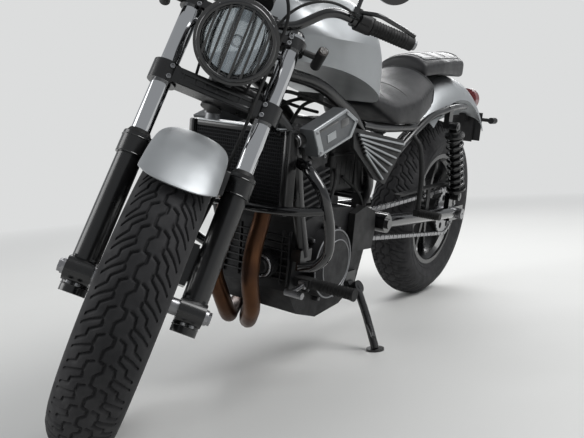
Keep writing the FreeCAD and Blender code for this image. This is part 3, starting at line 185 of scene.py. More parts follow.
def make_materials():
    silver = Finish("satin_silver_paint", "a3a6a8", 0.40, 0.7)
    silver.vary_roughness(22, 0.38, 0.50).bump("Noise", 1600, 0.00008, 0.3)
    silver.put("Coat Weight", 0.15).put("Coat Roughness", 0.35)
    engine = Finish("matt_engine_black", "121214", 0.55, 0.15)
    engine.vary_roughness(30, 0.46, 0.68).bump("Noise", 700, 0.0004, 0.5)
    rubber = Finish("tyre_rubber", "1b1b1d", 0.78)
    rubber.vary_colour(9, "242325").vary_roughness(40, 0.68, 0.9).bump("Noise", 900, 0.0003, 0.5)
    moulded = Finish("moulded_rubber", "0d0d0d", 0.7)
    moulded.vary_roughness(60, 0.6, 0.82).bump("Voronoi", 260, 0.0006, 0.5)
    chrome = Finish("chromed_tube", "c9cacc", 0.07, 1.0)
    chrome.vary_roughness(18, 0.04, 0.12)
    steel = Finish("machined_steel", "9a9a9c", 0.3, 1.0)
    steel.vary_roughness(55, 0.22, 0.42).bump("Noise", 420, 0.00015, 0.4)
    heat = Finish("heat_tinted_steel", "6d4a30", 0.36, 0.95)
    heat.vary_colour(7, "3a2a24", start=0.3, end=0.66).vary_roughness(26, 0.28, 0.52)
    leather = Finish("satin_leather", "18181a", 0.44)
    leather.vary_roughness(26, 0.36, 0.54).bump("Voronoi", 520, 0.0005, 0.35)
    leather.put("Sheen Weight", 0.12).put("Sheen Roughness", 0.4)
    plastic = Finish("grained_plastic", "101011", 0.55)
    plastic.vary_roughness(34, 0.48, 0.66).bump("Voronoi", 800, 0.0003, 0.4)
    grey = Finish("grey_moulding", "5c5e60", 0.5, 0.25)
    grey.vary_roughness(30, 0.42, 0.6).bump("Noise", 1000, 0.0002, 0.4)
    frame_black = painted("frame_black", "0c0c0d", 0.3)
    gloss = painted("gloss_black", "08080a", 0.16, 0.8, 0.00006)
    aluminium = Finish("cast_aluminium", "8e8f91", 0.42, 0.9)
    aluminium.vary_roughness(50, 0.34, 0.55).bump("Noise", 600, 0.0003, 0.4)
    fins = Finish("dark_fins", "2a2b2d", 0.5, 0.8)
    fins.vary_roughness(60, 0.42, 0.6)
    plate = Finish("plain_plate", "b9b9b4", 0.45)
    plate.vary_roughness(30, 0.4, 0.52)
    return {
        "aluminium_dark": fins.material, "plate_white": plate.material,
        "silver": silver.material, "engine": engine.material, "rubber": rubber.material,
        "moulded": moulded.material, "chrome": chrome.material, "steel": steel.material,
        "heat": heat.material, "leather": leather.material, "plastic": plastic.material,
        "grey": grey.material, "frame": frame_black.material, "gloss": gloss.material,
        "aluminium": aluminium.material,
    }


def clear_glass():
    glass = Finish("lamp_glass", "e9eef0", 0.06)
    glass.put("Transmission Weight", 1.0).put("IOR", 1.45)
    return glass.material


def coloured_lens(name, colour):
    lens = Finish(name, colour, 0.12)
    lens.put("Transmission Weight", 0.35).put("Coat Weight", 0.6)
    lens.bump("Wave", 160, 0.0006, 0.5)
    return lens.material


finishes = make_materials()
finishes["glass"] = clear_glass()
finishes["red"] = coloured_lens("red_lens", "7a0d10")
finishes["smoke"] = coloured_lens("smoked_lens", "2a1d12")
finishes["amber"] = coloured_lens("amber_lens", "8a4a14")

NODE_FINISH = {
    "rubber": ("front_tyre", "rear_tyre"),
    "silver": ("fuel_tank", "front_fender", "rear_fender"),
    "chrome": ("fork_tubes",),
    "steel": ("front_brake_disc", "rear_brake_disc", "rear_sprocket", "front_axle", "rear_axle",
              "drive_chain", "foot_levers", "fuel_cap"),
    "heat": ("exhaust_headers",),
    "leather": ("rider_seat", "pillion_pad"),
    "engine": ("crankcase", "cylinders", "cylinder_head", "engine_covers", "oil_filter", "radiator"),
    "gloss": ("swingarm", "crash_bar", "headlamp_shell", "headlamp_guard", "handlebar", "mirrors",
              "shock_springs"),
    "moulded": ("grips", "foot_pegs", "passenger_pegs"),
    "plastic": ("switch_housings", "instrument", "front_indicators", "rear_indicators", "side_covers",
                "sprocket_cover", "chain_guard", "plate_holder"),
    "grey": ("tank_side_boxes",),
    "glass": ("headlamp_glass",),
    "red": ("tail_lamp",),
}


def finish_nodes():
    """Every solid that stays gets its finish, and frame black where none is named."""
    chosen = {node: key for key, nodes in NODE_FINISH.items() for node in nodes}
    for node, solid in frame["nodes"].items():
        material = finishes[chosen.get(node, "frame")]
        solid.data.materials.clear()
        solid.data.materials.append(material)


finish_nodes()

# %% [markdown]
# A few hand tools. Each new piece starts as one of Blender's primitives, is shaped with its
# edit operators, and is then settled: its place goes into the mesh, it gets its finish, and
# it rides on the body that carries it.


def clear_selection():
    if bpy.context.object and bpy.context.object.mode == "EDIT":
        bpy.ops.object.mode_set(mode="OBJECT")
    bpy.ops.object.select_all(action="DESELECT")


def bake_place(piece, matrix=Matrix()):
    """Moves the object's own place and then a frame's place into the mesh."""
    piece.data.transform(matrix @ piece.matrix_world)
    piece.matrix_world = Matrix()


def settle(piece, name, body, finish, matrix=Matrix(), smooth=32):
    bake_place(piece, matrix)
    piece.name = name
    piece.data.name = name
    piece.data.materials.clear()
    piece.data.materials.append(finishes[finish])
    if smooth:
        clear_selection()
        piece.select_set(True)
        bpy.context.view_layer.objects.active = piece
        bpy.ops.object.shade_smooth_by_angle(angle=math.radians(smooth))
    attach(piece, body)
    print(name, "on", body, len(piece.data.polygons), "faces")
    return piece


def merge(parts):
    """Several objects become one, with each one's place kept."""
    clear_selection()
    for part in parts:
        part.select_set(True)
    bpy.context.view_layer.objects.active = parts[0]
    if len(parts) > 1:
        bpy.ops.object.join()
    whole = bpy.context.object
    bake_place(whole)
    return whole


def aim(direction):
    """Rotation that turns Z towards a direction."""
    return Vector(direction).to_track_quat("Z", "Y").to_matrix().to_4x4()


def cylinder(start, end, radius, sides=24, end_radius=None, caps="NGON"):
    """A round bar, or a cone with an end radius, between two points."""
    clear_selection()
    start, end = Vector(start), Vector(end)
    length = (end - start).length
    bpy.ops.mesh.primitive_cone_add(
        vertices=sides, radius1=radius, radius2=radius if end_radius is None else end_radius,
        depth=length, end_fill_type=caps)
    bar = bpy.context.object
    bar.matrix_world = Matrix.Translation((start + end) / 2) @ aim(end - start)
    return bar


def ring(centre, axis, radius, thickness, sides=48, round_sides=12):
    clear_selection()
    bpy.ops.mesh.primitive_torus_add(major_radius=radius, minor_radius=thickness,
                                     major_segments=sides, minor_segments=round_sides)
    hoop = bpy.context.object
    hoop.matrix_world = Matrix.Translation(centre) @ aim(axis)
    return hoop


def slab(low, high, bevel=0.0, segments=2):
    """A box between two corners with rounded edges."""
    clear_selection()
    low, high = Vector(low), Vector(high)
    bpy.ops.mesh.primitive_cube_add(size=1)
    box = bpy.context.object
    box.matrix_world = Matrix.Translation((low + high) / 2) @ Matrix.Diagonal((*(high - low), 1))
    bake_place(box)
    if bevel:
        apply_modifier(box, "BEVEL", width=bevel, segments=segments, limit_method="ANGLE")
    return box


def apply_modifier(piece, kind, **settings):
    clear_selection()
    piece.select_set(True)
    bpy.context.view_layer.objects.active = piece
    modifier = piece.modifiers.new(kind.lower(), kind)
    for key, value in settings.items():
        setattr(modifier, key, value)
    bpy.ops.object.modifier_apply(modifier=modifier.name)
    return piece


def spline_curve(points, order, resolution):
    """An open curve through space, held at both ends."""
    curve = bpy.data.curves.new("run", "CURVE")
    curve.dimensions = "3D"
    spline = curve.splines.new("NURBS")
    spline.points.add(len(points) - 1)
    for point, place in zip(spline.points, points):
        point.co = (*place, 1)
    spline.order_u = order
    spline.use_endpoint_u = True
    spline.resolution_u = resolution
    return curve


def curve_mesh(curve):
    """The curve as a mesh object."""
    line = bpy.data.objects.new("run", curve)
    bpy.context.collection.objects.link(line)
    clear_selection()
    line.select_set(True)
    bpy.context.view_layer.objects.active = line
    bpy.ops.object.convert(target="MESH")
    return bpy.context.object


def pipe(points, radius, sides=6):
    """A smooth round tube along a spline, as a mesh."""
    curve = spline_curve(points, 3, 8)
    curve.bevel_depth = radius
    curve.bevel_resolution = sides // 2
    curve.use_fill_caps = True
    return curve_mesh(curve)


def mirror_copy(piece):
    """The same shape on the other side, with its faces still outwards."""
    twin = piece.copy()
    twin.data = piece.data.copy()
    bpy.context.collection.objects.link(twin)
    twin.data.transform(Matrix.Scale(-1, 4, (1, 0, 0)) @ piece.matrix_world)
    twin.matrix_world = Matrix()
    twin.data.flip_normals()
    return twin


def socket_bolt(radius, height):
    """A socket head bolt along Z: a bevelled head with a sunk hexagon."""
    clear_selection()
    bpy.ops.mesh.primitive_cylinder_add(vertices=24, radius=radius, depth=height,
                                        location=(0, 0, height / 2))
    bolt = bpy.context.object
    bake_place(bolt)
    bpy.ops.object.mode_set(mode="EDIT")
    bpy.ops.mesh.select_all(action="DESELECT")
    mesh = bmesh.from_edit_mesh(bolt.data)
    for face in mesh.faces:
        face.select = face.normal.z > 0.9
    bmesh.update_edit_mesh(bolt.data)
    bpy.ops.mesh.inset(thickness=radius * 0.16, depth=radius * 0.12)
    bpy.ops.mesh.inset(thickness=radius * 0.26)
    bpy.ops.mesh.inset(thickness=radius * 0.04, depth=-height * 0.45)
    bpy.ops.object.mode_set(mode="OBJECT")
    return bolt


def fasteners(name, spots, body, finish, matrix, radius=4.5, height=4.0):
    """Copies of one bolt, each at (place, direction), in one piece in metres."""
    model = socket_bolt(radius * MM, height * MM)
    copies = []
    for spot, direction in spots:
        twin = model.copy()
        twin.data = model.data.copy()
        bpy.context.collection.objects.link(twin)
        twin.matrix_world = Matrix.Translation(Vector(spot) * MM) @ aim(direction)
        copies.append(twin)
    bpy.data.objects.remove(model)
    return settle(merge(copies), name, body, finish, matrix)


def mm(*values):
    return Vector(values) * MM

# %% [markdown]
# Tyres. The tread has a stepped centre groove, and beside it two kinds of bent grooves that
# run out and down to the shoulders. A fine grid is wrapped into the tyre's section, and its
# points sink by the distance to the nearest groove line, so the tread is real depth.

# %%
# One pitch of the pattern, in millimetres: (across from the crown, along the tread)
CENTRE_GROOVE = [(4.7, 0), (4.7, -14), (-4.7, -24), (-4.7, -43), (4.7, -46)]
SIDE_GROOVES = [
    [(13, 0), (23, -6), (25, -23), (45, -35), (64, -50)],
    [(23, -27), (22, -35), (41, -50), (42, -62), (62, -78)],
]
PITCH = 46.0
GROOVE_HALF = 2.1    # half width of a groove
GROOVE_DEPTH = 5.0


def line_distance(across, along, start, end):
    """Distance of every point to one straight piece of a groove."""
    run = np.array(end, float) - np.array(start, float)
    share = ((across - start[0]) * run[0] + (along - start[1]) * run[1]) / (run @ run)
    share = np.clip(share, 0, 1)
    return np.hypot(across - start[0] - share * run[0], along - start[1] - share * run[1])


def groove_depth(across, along):
    """How deep the tread is cut at each point."""
    nearest = np.full(across.shape, 1e3)
    for lap in (-1, 0, 1, 2):
        shifted = along - lap * PITCH
        for start, end in zip(CENTRE_GROOVE, CENTRE_GROOVE[1:]):
            nearest = np.minimum(nearest, line_distance(across, shifted, start, end))
        for groove in SIDE_GROOVES:
            for start, end in zip(groove, groove[1:]):
                nearest = np.minimum(nearest, line_distance(np.abs(across), shifted, start, end))
    return GROOVE_DEPTH * np.clip((GROOVE_HALF + 0.9 - nearest) / 1.8, 0, 1)


def tyre_section(crown, width, rows):
    """Places round a closed section: (across, radius, tread arc or none), millimetres."""
    half = width / 2
    arc = 0.9 * half + 8
    bend = half
    turn = arc / bend
    section = []
    for step in range(rows + 1):
        run = -arc + 2 * arc * step / rows
        section.append((bend * math.sin(run / bend), crown - bend * (1 - math.cos(run / bend)), run))
    edge, shoulder = bend * math.sin(turn), crown - bend * (1 - math.cos(turn))
    wall = [(edge + 0.55 * (half - edge), shoulder - 9), (half - 0.6, shoulder - 22),
            (half, shoulder - 31), (half - 1.2, shoulder - 40), (half - 0.2, shoulder - 42),
            (half - 1.4, shoulder - 45), (half - 6, shoulder - 60), (half - 10, shoulder - 68),
            (half - 9.2, shoulder - 70), (half - 13, shoulder - 76)]
    low = 203.5
    wall = [(x, max(radius, low)) for x, radius in wall] + [(half - 20, low)]
    under = [(half - 34, low + 1), (0, low + 1), (34 - half, low + 1)]
    ring_points = [(x, radius, None) for x, radius in wall + under]
    ring_points += [(-x, radius, None) for x, radius in reversed(wall)]
    return section + ring_points


def make_tyre(name, node, body, wheel, crown, width, pitches, per_pitch, rows):
    section = tyre_section(crown, width, rows)
    columns = pitches * per_pitch
    clear_selection()
    bpy.ops.mesh.primitive_grid_add(x_subdivisions=columns, y_subdivisions=len(section), size=1)
    tyre = bpy.context.object
    count = len(tyre.data.vertices)
    column = np.arange(count) % (columns + 1)
    row = (np.arange(count) // (columns + 1)) % len(section)
    across = np.array([place[0] for place in section])[row]
    radius = np.array([place[1] for place in section])[row]
    arc = np.array([1e3 if place[2] is None else place[2] for place in section])[row]
    along = (column % per_pitch) * PITCH / per_pitch - PITCH
    radius = radius - groove_depth(arc * 130 / width, along)
    angle = (column % columns) * 2 * math.pi / columns
    places = np.stack([across, np.sin(angle) * radius, np.cos(angle) * radius], axis=1) * MM
    tyre.data.vertices.foreach_set("co", places.ravel())
    tyre.data.update()
    bpy.ops.object.mode_set(mode="EDIT")
    bpy.ops.mesh.select_all(action="SELECT")
    bpy.ops.mesh.remove_doubles(threshold=0.00002)
    bpy.ops.mesh.normals_make_consistent(inside=False)
    bpy.ops.object.mode_set(mode="OBJECT")
    settle(tyre, name, body, "rubber", wheel, smooth=40)
    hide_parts(node)


make_tyre("front_tyre_tread", "front_tyre", "front_wheel", FRONT_WHEEL, 319.5, 129, 44, 21, 76)
make_tyre("rear_tyre_tread", "rear_tyre", "rear_wheel", REAR_WHEEL, 322.5, 149, 44, 13, 60)

# %% [markdown]
# Brake discs. A real disc is a drilled steel ring on a dark carrier with windows. Cutters
# for the holes are joined first, so one boolean drills each ring.

# %%
THROUGH = 0.2                       # half length of a cutter, past both faces of any part
DISC_INNER = 0.69                   # the ring's inner edge, as a share of its outer radius
DRILL_ROWS = (0.76, 0.84, 0.92)     # circles of holes, the same way
BOLT_CIRCLE = 0.86                  # bolts, as a share of the inner edge


def cut(piece, cutter):
    """Takes the cutter's volume out of the piece."""
    apply_modifier(piece, "BOOLEAN", operation="DIFFERENCE", solver="EXACT", object=cutter)
    bpy.data.objects.remove(cutter)
    return piece


def bore(piece, radius, sides):
    """Drills the hole on the axle."""
    return cut(piece, cylinder((-THROUGH, 0, 0), (THROUGH, 0, 0), radius, sides))


def round_holes(radius_of_row, count, hole, shift, sides=14):
    """Cylinders along X on circles about the axle, alternate ones turned by a shift."""
    bars = []
    for row, circle in enumerate(radius_of_row):
        for number in range(count):
            angle = 2 * math.pi * (number + shift * row) / count
            y, z = circle * math.cos(angle), circle * math.sin(angle)
            bars.append(cylinder((-THROUGH, y, z), (THROUGH, y, z), hole, sides))
    return merge(bars)


def make_disc(name, node, body, wheel, face, outer, thickness=5.0):
    """A drilled ring with its carrier, in the wheel's own frame."""
    inner = outer * DISC_INNER
    side = 1 if face > 0 else -1
    low, high = (face - side * thickness / 2) * MM, (face + side * thickness / 2) * MM
    band = cylinder((low, 0, 0), (high, 0, 0), outer * MM, 120)
    bore(band, inner * MM, 120)
    rows = [share * outer * MM for share in DRILL_ROWS]
    cut(band, round_holes(rows, 24, 0.0032, 0.34))
    settle(band, name, body, "steel", wheel)
    carrier = cylinder((low + side * 0.0008, 0, 0), (high - side * 0.0008, 0, 0), (inner - 1) * MM, 72)
    cut(carrier, round_holes([inner * 0.66 * MM], 6, inner * 0.2 * MM, 0, 28))
    boss = cylinder((low - side * 0.009, 0, 0), (high + side * 0.002, 0, 0), 0.044, 48)
    hub = merge([carrier, boss])
    bore(hub, 0.018, 32)
    settle(hub, name + "_carrier", body, "engine", wheel)
    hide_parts(node)
    spots = []
    for number in range(6):
        angle = 2 * math.pi * (number + 0.5) / 6
        place = (face + side * thickness / 2, inner * BOLT_CIRCLE * math.cos(angle),
                 inner * BOLT_CIRCLE * math.sin(angle))
        spots.append((place, (side, 0, 0)))
    fasteners(name + "_bolts", spots, body, "aluminium", wheel, 5.5, 3.0)


make_disc("front_disc_ring", "front_brake_disc", "front_wheel", FRONT_WHEEL, 58, 148)
make_disc("rear_disc_ring", "rear_brake_disc", "rear_wheel", REAR_WHEEL, -70, 120)

# %% [markdown]
# The rear sprocket and the chain. The sprocket is cut from plate, and the chain is one
# link modelled once and copied round the loop, so its joints and gaps are real.

# %%
SPROCKET = (745.0, 323.0, 82.0)    # back, up and pitch radius of the rear sprocket
DRIVE = (52.0, 352.0, 35.0)        # the same for the engine's sprocket
CHAIN_SIDE = 88.0                  # chain line from the mid plane
LINK = 15.875                      # chain pitch


def chain_path():
    """Points and headings every pitch round both sprockets, in millimetres."""
    gap = Vector((SPROCKET[0] - DRIVE[0], SPROCKET[1] - DRIVE[1]))
    slope = math.atan2(gap.y, gap.x)
    lean = math.asin((SPROCKET[2] - DRIVE[2]) / gap.length)
    straight = gap.length * math.cos(lean)
    runs = []
    top = slope + math.pi / 2 + lean
    low = slope - math.pi / 2 - lean
    around_rear = SPROCKET[2] * (math.pi + 2 * lean)
    around_front = DRIVE[2] * (math.pi - 2 * lean)
    total = 2 * straight + around_rear + around_front
    count = round(total / LINK)
    for number in range(count):
        run = total * number / count
        if run < straight:
            start = Vector(DRIVE[:2]) + DRIVE[2] * Vector((math.cos(top), math.sin(top)))
            heading = top - math.pi / 2
            place = start + run * Vector((math.cos(heading), math.sin(heading)))
        elif run < straight + around_rear:
            angle = top - (run - straight) / SPROCKET[2]
            place = Vector(SPROCKET[:2]) + SPROCKET[2] * Vector((math.cos(angle), math.sin(angle)))
            heading = angle - math.pi / 2
        elif run < 2 * straight + around_rear:
            start = Vector(SPROCKET[:2]) + SPROCKET[2] * Vector((math.cos(low), math.sin(low)))
            heading = low - math.pi / 2
            along = run - straight - around_rear
            place = start + along * Vector((math.cos(heading), math.sin(heading)))
        else:
            angle = low - (run - 2 * straight - around_rear) / DRIVE[2]
            place = Vector(DRIVE[:2]) + DRIVE[2] * Vector((math.cos(angle), math.sin(angle)))
            heading = angle - math.pi / 2
        runs.append((place, heading))
    return runs


def link_model(half_width):
    """Two plates and a roller of one link, its pins at the origin and one pitch on."""
    parts = []
    for side in (-1, 1):
        x = side * half_width
        for y in (0, LINK):
            parts.append(cylinder(mm(x - 0.9, y, 0), mm(x + 0.9, y, 0), 0.0066, 14))
        parts.append(slab(mm(x - 0.85, 0, -4.6), mm(x + 0.85, LINK, 4.6)))
    parts.append(cylinder(mm(-half_width - 1, 0, 0), mm(half_width + 1, 0, 0), 0.0042, 12))
    return merge(parts)


def make_chain():
    models = [link_model(5.6), link_model(3.6)]
    links = []
    for number, (place, heading) in enumerate(chain_path()):
        model = models[number % 2]
        link = model.copy()
        link.data = model.data.copy()
        bpy.context.collection.objects.link(link)
        link.matrix_world = (Matrix.Translation(mm(CHAIN_SIDE, place.x, place.y))
                             @ Matrix.Rotation(heading, 4, "X"))
        links.append(link)
    for model in models:
        bpy.data.objects.remove(model)
    chain = settle(merge(links), "chain_links", "chassis", "steel", CHASSIS, 30)
    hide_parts("drive_chain")
    print("chain links", len(links))


def make_sprocket():
    """Toothed steel plate with windows, on the rear wheel's left."""
    wheel = cylinder(mm(CHAIN_SIDE - 2.6, 0, 0), mm(CHAIN_SIDE + 2.6, 0, 0), 0.0835, 96)
    teeth = round_holes([0.0845], 32, 0.0046, 0, 12)
    cut(wheel, teeth)
    cut(wheel, round_holes([0.058], 6, 0.0115, 0, 24))
    boss = cylinder(mm(60, 0, 0), mm(CHAIN_SIDE + 1, 0, 0), 0.046, 48)
    whole = merge([wheel, boss])
    bore(whole, 0.0182, 32)
    settle(whole, "sprocket_plate", "rear_wheel", "steel", REAR_WHEEL)
    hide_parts("rear_sprocket")


make_chain()
make_sprocket()

# %% [markdown]
# Shock springs. A coil is one wire along a helix, closed up at its ends.

# %%
SHOCK_TOP = Vector((144, 590, 634))
SHOCK_LOW = Vector((144, 690, 392))
COIL_TURNS = 7.5
COIL_RADIUS = 25.5     # middle of the wire from the damper's axis


def make_springs():
    run = (SHOCK_LOW - SHOCK_TOP).normalized()
    length = (SHOCK_LOW - SHOCK_TOP).length
    first, last = 39.0, length - 40.0
    side_way = Vector((1, 0, 0))
    other_way = run.cross(side_way)
    steps = int(COIL_TURNS * 14)
    points = []
    for step in range(steps + 1):
        share = step / steps
        angle = 2 * math.pi * COIL_TURNS * share
        spread = side_way * math.cos(angle) + other_way * math.sin(angle)
        points.append((SHOCK_TOP + run * (first + (last - first) * share) + spread * COIL_RADIUS) * MM)
    left = pipe(points, 0.0052, 8)
    right = mirror_copy(left)
    coils = settle(merge([left, right]), "coil_springs", "chassis", "gloss", CHASSIS, 60)
    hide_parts("shock_springs")


make_springs()

# %% [markdown]
# Seats. Both are moulded foam under stretched leather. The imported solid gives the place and
# reach. Its copy is remeshed, relaxed until its edges round over, and sewn: welts and stitches
# are laid on the relaxed surface by casting rays at it.

# %%


def relaxed_copy(node, voxel, rounds, swell):
    """A soft-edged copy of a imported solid, drawn in the upright machine's frame."""
    pad = frame["nodes"][node].copy()
    pad.data = pad.data.copy()
    pad.parent = None
    bpy.context.collection.objects.link(pad)
    pad.matrix_world = Matrix()
    clear_selection()
    pad.select_set(True)
    bpy.context.view_layer.objects.active = pad
    bpy.ops.object.mode_set(mode="EDIT")
    bpy.ops.mesh.select_all(action="SELECT")
    bpy.ops.mesh.remove_doubles(threshold=0.0002)
    bpy.ops.object.mode_set(mode="OBJECT")
    apply_modifier(pad, "REMESH", mode="VOXEL", voxel_size=voxel)
    apply_modifier(pad, "SMOOTH", factor=0.6, iterations=rounds)
    apply_modifier(pad, "DISPLACE", strength=swell, mid_level=0)
    bake_place(pad, CHASSIS.inverted())
    return pad


def surface_points(pad, rays, lift):
    """Where rays in millimetres meet the pad, lifted off along its normal."""
    points = []
    for start, direction in rays:
        hit, place, normal, face = pad.ray_cast(Vector(start) * MM, Vector(direction).normalized())
        if hit:
            points.append(place + normal * lift * MM)
    return points


def sewn_line(pad, rays, name, radius, finish, lift=0.0):
    """A welt along the points where the rays meet the pad."""
    points = surface_points(pad, rays, lift)
    return settle(pipe(points, radius * MM), name, "chassis", finish, CHASSIS, 60)


def stitches(pad, rays, name):
    """Short thread capsules, one for each pair of neighbouring rays."""
    points = surface_points(pad, rays, 0.25)
    threads = []
    for start, end in zip(points[::2], points[1::2]):
        threads.append(cylinder(start, end, 0.0007, 6))
    return settle(merge(threads), name, "chassis", "grey", CHASSIS, 60)


def arch_rays(back, middle_high, spread, count):
    """Rays aimed at a point inside the pad, fanned from one side over the top to the other."""
    target = Vector((0, back, middle_high))
    rays = []
    for number in range(count):
        angle = math.radians(-spread + 2 * spread * number / (count - 1))
        out = Vector((math.sin(angle), 0, math.cos(angle)))
        rays.append((target + out * 400, -out))
    return rays


def outline_rays(corners, count, high):
    """Downward rays along a rounded closed outline through corners (across, back)."""
    rays = []
    for side in range(len(corners)):
        start, end = Vector(corners[side]), Vector(corners[(side + 1) % len(corners)])
        for number in range(count):
            spot = start.lerp(end, number / count)
            rays.append((Vector((spot.x, spot.y, high)), (0, 0, -1)))
    return rays


def make_rider_seat():
    seat = relaxed_copy("rider_seat", 0.006, 22, 0.0035)
    sewn_line(seat, arch_rays(412, 715, 112, 25), "rider_seat_welt", 2.4, "leather", 0.4)
    for name, back, spread in (("front", 150, 88), ("middle", 262, 96)):
        sewn_line(seat, arch_rays(back, 700, spread, 21), "rider_seat_seam_" + name, 0.9, "leather")
    stitches(seat, arch_rays(404, 715, 108, 90), "rider_seat_stitches")
    apply_modifier(seat, "SMOOTH", factor=0.4, iterations=3)
    settle(seat, "rider_seat_cushion", "chassis", "leather", CHASSIS, 80)
    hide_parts("rider_seat")


def make_pillion_pad():
    pad = relaxed_copy("pillion_pad", 0.005, 12, 0.003)
    high = 1000
    edge = [(-62, 470), (62, 470), (74, 560), (72, 735), (50, 765), (-50, 765), (-72, 735), (-74, 560)]
    rays = outline_rays(edge, 8, high)
    sewn_line(pad, rays + rays[:1], "pillion_pad_welt", 2.0, "leather", 0.2)
    inner = [(x * 0.86, 617 + (y - 617) * 0.92) for x, y in edge]
    stitches(pad, outline_rays(inner, 16, high), "pillion_pad_stitches")
    for back in (545, 640):
        rays = [(Vector((x, back, high)), (0, 0, -1)) for x in range(-60, 61, 10)]
        sewn_line(pad, rays, "pillion_pad_channel_%d" % back, 1.1, "leather")
    settle(pad, "pillion_pad_cushion", "chassis", "leather", CHASSIS, 80)
    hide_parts("pillion_pad")


make_rider_seat()
make_pillion_pad()

# %% [markdown]
# Headlamp. Behind the guard bars sit a clear fluted lens, a bright dish and a bulb shield.
# The lens is a grid bent into a shallow dome, and its flutes are a real wave in it.

# %%
LAMP = (FORK @ Matrix.Translation(mm(0, 0, 600)) @ Matrix.Rotation(RAKE, 4, "X")
        @ Matrix.Rotation(math.radians(90), 4, "X"))
LENS_RADIUS = 68.6
FLUTE = 8.5      # width of one flute


def domed_disc(radius, steps, height_at):
    """A round sheet: a square grid pressed into a disc, with a height for each place."""
    clear_selection()
    bpy.ops.mesh.primitive_grid_add(x_subdivisions=steps, y_subdivisions=steps, size=2)
    disc = bpy.context.object
    for vertex in disc.data.vertices:
        x, y = vertex.co.x, vertex.co.y
        x, y = x * math.sqrt(1 - y * y / 2), y * math.sqrt(1 - x * x / 2)
        vertex.co = mm(x * radius, y * radius, height_at(x * radius, y * radius))
    return disc


def lens_height(x, y):
    dome = 6.5 * (1 - (x * x + y * y) / LENS_RADIUS ** 2)
    return 131 + dome + 0.8 * abs(math.sin(math.pi * x / FLUTE))


def dish_height(x, y):
    return 111.5 + 15 * (x * x + y * y) / 66 ** 2


def make_headlamp_glass():
    lens = domed_disc(LENS_RADIUS, 96, lens_height)
    apply_modifier(lens, "SOLIDIFY", thickness=0.002, offset=-1)
    settle(lens, "headlamp_lens", "steering", "glass", LAMP, 50)
    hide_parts("headlamp_glass")
    dish = domed_disc(66, 40, dish_height)
    apply_modifier(dish, "SOLIDIFY", thickness=0.001, offset=-1)
    settle(dish, "headlamp_dish", "steering", "chrome", LAMP, 60)
    shield = merge([cylinder(mm(0, 0, 112), mm(0, 0, 122), 0.013, 32, 0.010),
                    ring(mm(0, 0, 122), (0, 0, 1), 0.010, 0.0016, 32)])
    settle(shield, "headlamp_bulb_shield", "steering", "chrome", LAMP, 40)
    trim = merge([ring(mm(0, 0, 139.5), (0, 0, 1), 0.0712, 0.0022, 96),
                  ring(mm(0, 0, 116), (0, 0, 1), 0.0872, 0.0016, 96)])
    settle(trim, "headlamp_trim", "steering", "gloss", LAMP, 40)
    spots = []
    for number in range(4):
        angle = math.radians(45 + 90 * number)
        spots.append(((80 * math.cos(angle), 80 * math.sin(angle), 140), (0, 0, 1)))
    fasteners("headlamp_screws", spots, "steering", "steel", LAMP, 3.2, 2.0)


make_headlamp_glass()

# %% [markdown]
# Front fender: a short pressed blade, which reaches further forward than its solid does. A
# grid is bent over the tyre, its corners are rounded, and a wall thickness is added last.

# %%
FENDER_CROWN = 332.0      # outside radius at the crown, millimetres
FENDER_EDGE = 296.0       # outside radius at the side edges
FENDER_WIDE = 71.0        # half width


def fender_blade(name, node, start, sweep, columns=64, rows=40):
    """A grid over the wheel: angles in degrees, from the fork's line towards the back."""
    clear_selection()
    bpy.ops.mesh.primitive_grid_add(x_subdivisions=columns, y_subdivisions=rows, size=1)
    blade = bpy.context.object
    for vertex in blade.data.vertices:
        along, side = vertex.co.x + 0.5, vertex.co.y * 2
        near_end = max(0.0, 1 - along / 0.16)
        far_end = max(0.0, 1 - (1 - along) / 0.1)
        shorten = 0.30 * near_end ** 2.4 + 0.3 * far_end ** 2
        turn = side * math.radians(90) * (1 - shorten)
        flat = math.copysign(abs(math.sin(turn)) ** 0.82, turn)
        radius = FENDER_EDGE + (FENDER_CROWN - FENDER_EDGE) * max(math.cos(turn), 0) ** 0.8
        corner = 5.0 * near_end ** 2 * side * side
        angle = math.radians(start + sweep * along) + math.radians(corner * (1 if along < 0.5 else 0))
        vertex.co = mm(FENDER_WIDE * flat, radius * math.sin(angle), radius * math.cos(angle))
    apply_modifier(blade, "SOLIDIFY", thickness=0.0026, offset=0)
    apply_modifier(blade, "BEVEL", width=0.0009, segments=2, limit_method="ANGLE")
    clear_selection()
    blade.select_set(True)
    bpy.context.view_layer.objects.active = blade
    bpy.ops.object.mode_set(mode="EDIT")
    bpy.ops.mesh.select_all(action="SELECT")
    bpy.ops.mesh.normals_make_consistent(inside=False)
    bpy.ops.object.mode_set(mode="OBJECT")
    settle(blade, name, "steering", "silver", FRONT_WHEEL, 50)
    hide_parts(node)


fender_blade("front_fender_blade", "front_fender", -60, 106)


def fender_stays():
    """Black brackets from the blade to each slider, with two bolts."""
    back = FRONT_AXLE_AHEAD / MM + LEG_AHEAD
    left = slab(mm(70, back - 18, 244), mm(90, back + 14, 298), 0.003)
    stays = merge([left, mirror_copy(left)])
    settle(stays, "front_fender_stays", "steering", "frame", FRONT_WHEEL)
    spots = [((side * 90, back - 2, z), (side, 0, 0)) for side in (-1, 1) for z in (256, 286)]
    fasteners("front_fender_bolts", spots, "steering", "steel", FRONT_WHEEL, 4.2, 3.0)


fender_stays()

# %% [markdown]
# Fork trim: rubber dust seals with a band, caps on the tubes, pinch bolts on the clamps and
# the axle, webs on the lower clamp and the nut on the stem.

# %%


def both_sides(part):
    return merge([part, mirror_copy(part)])


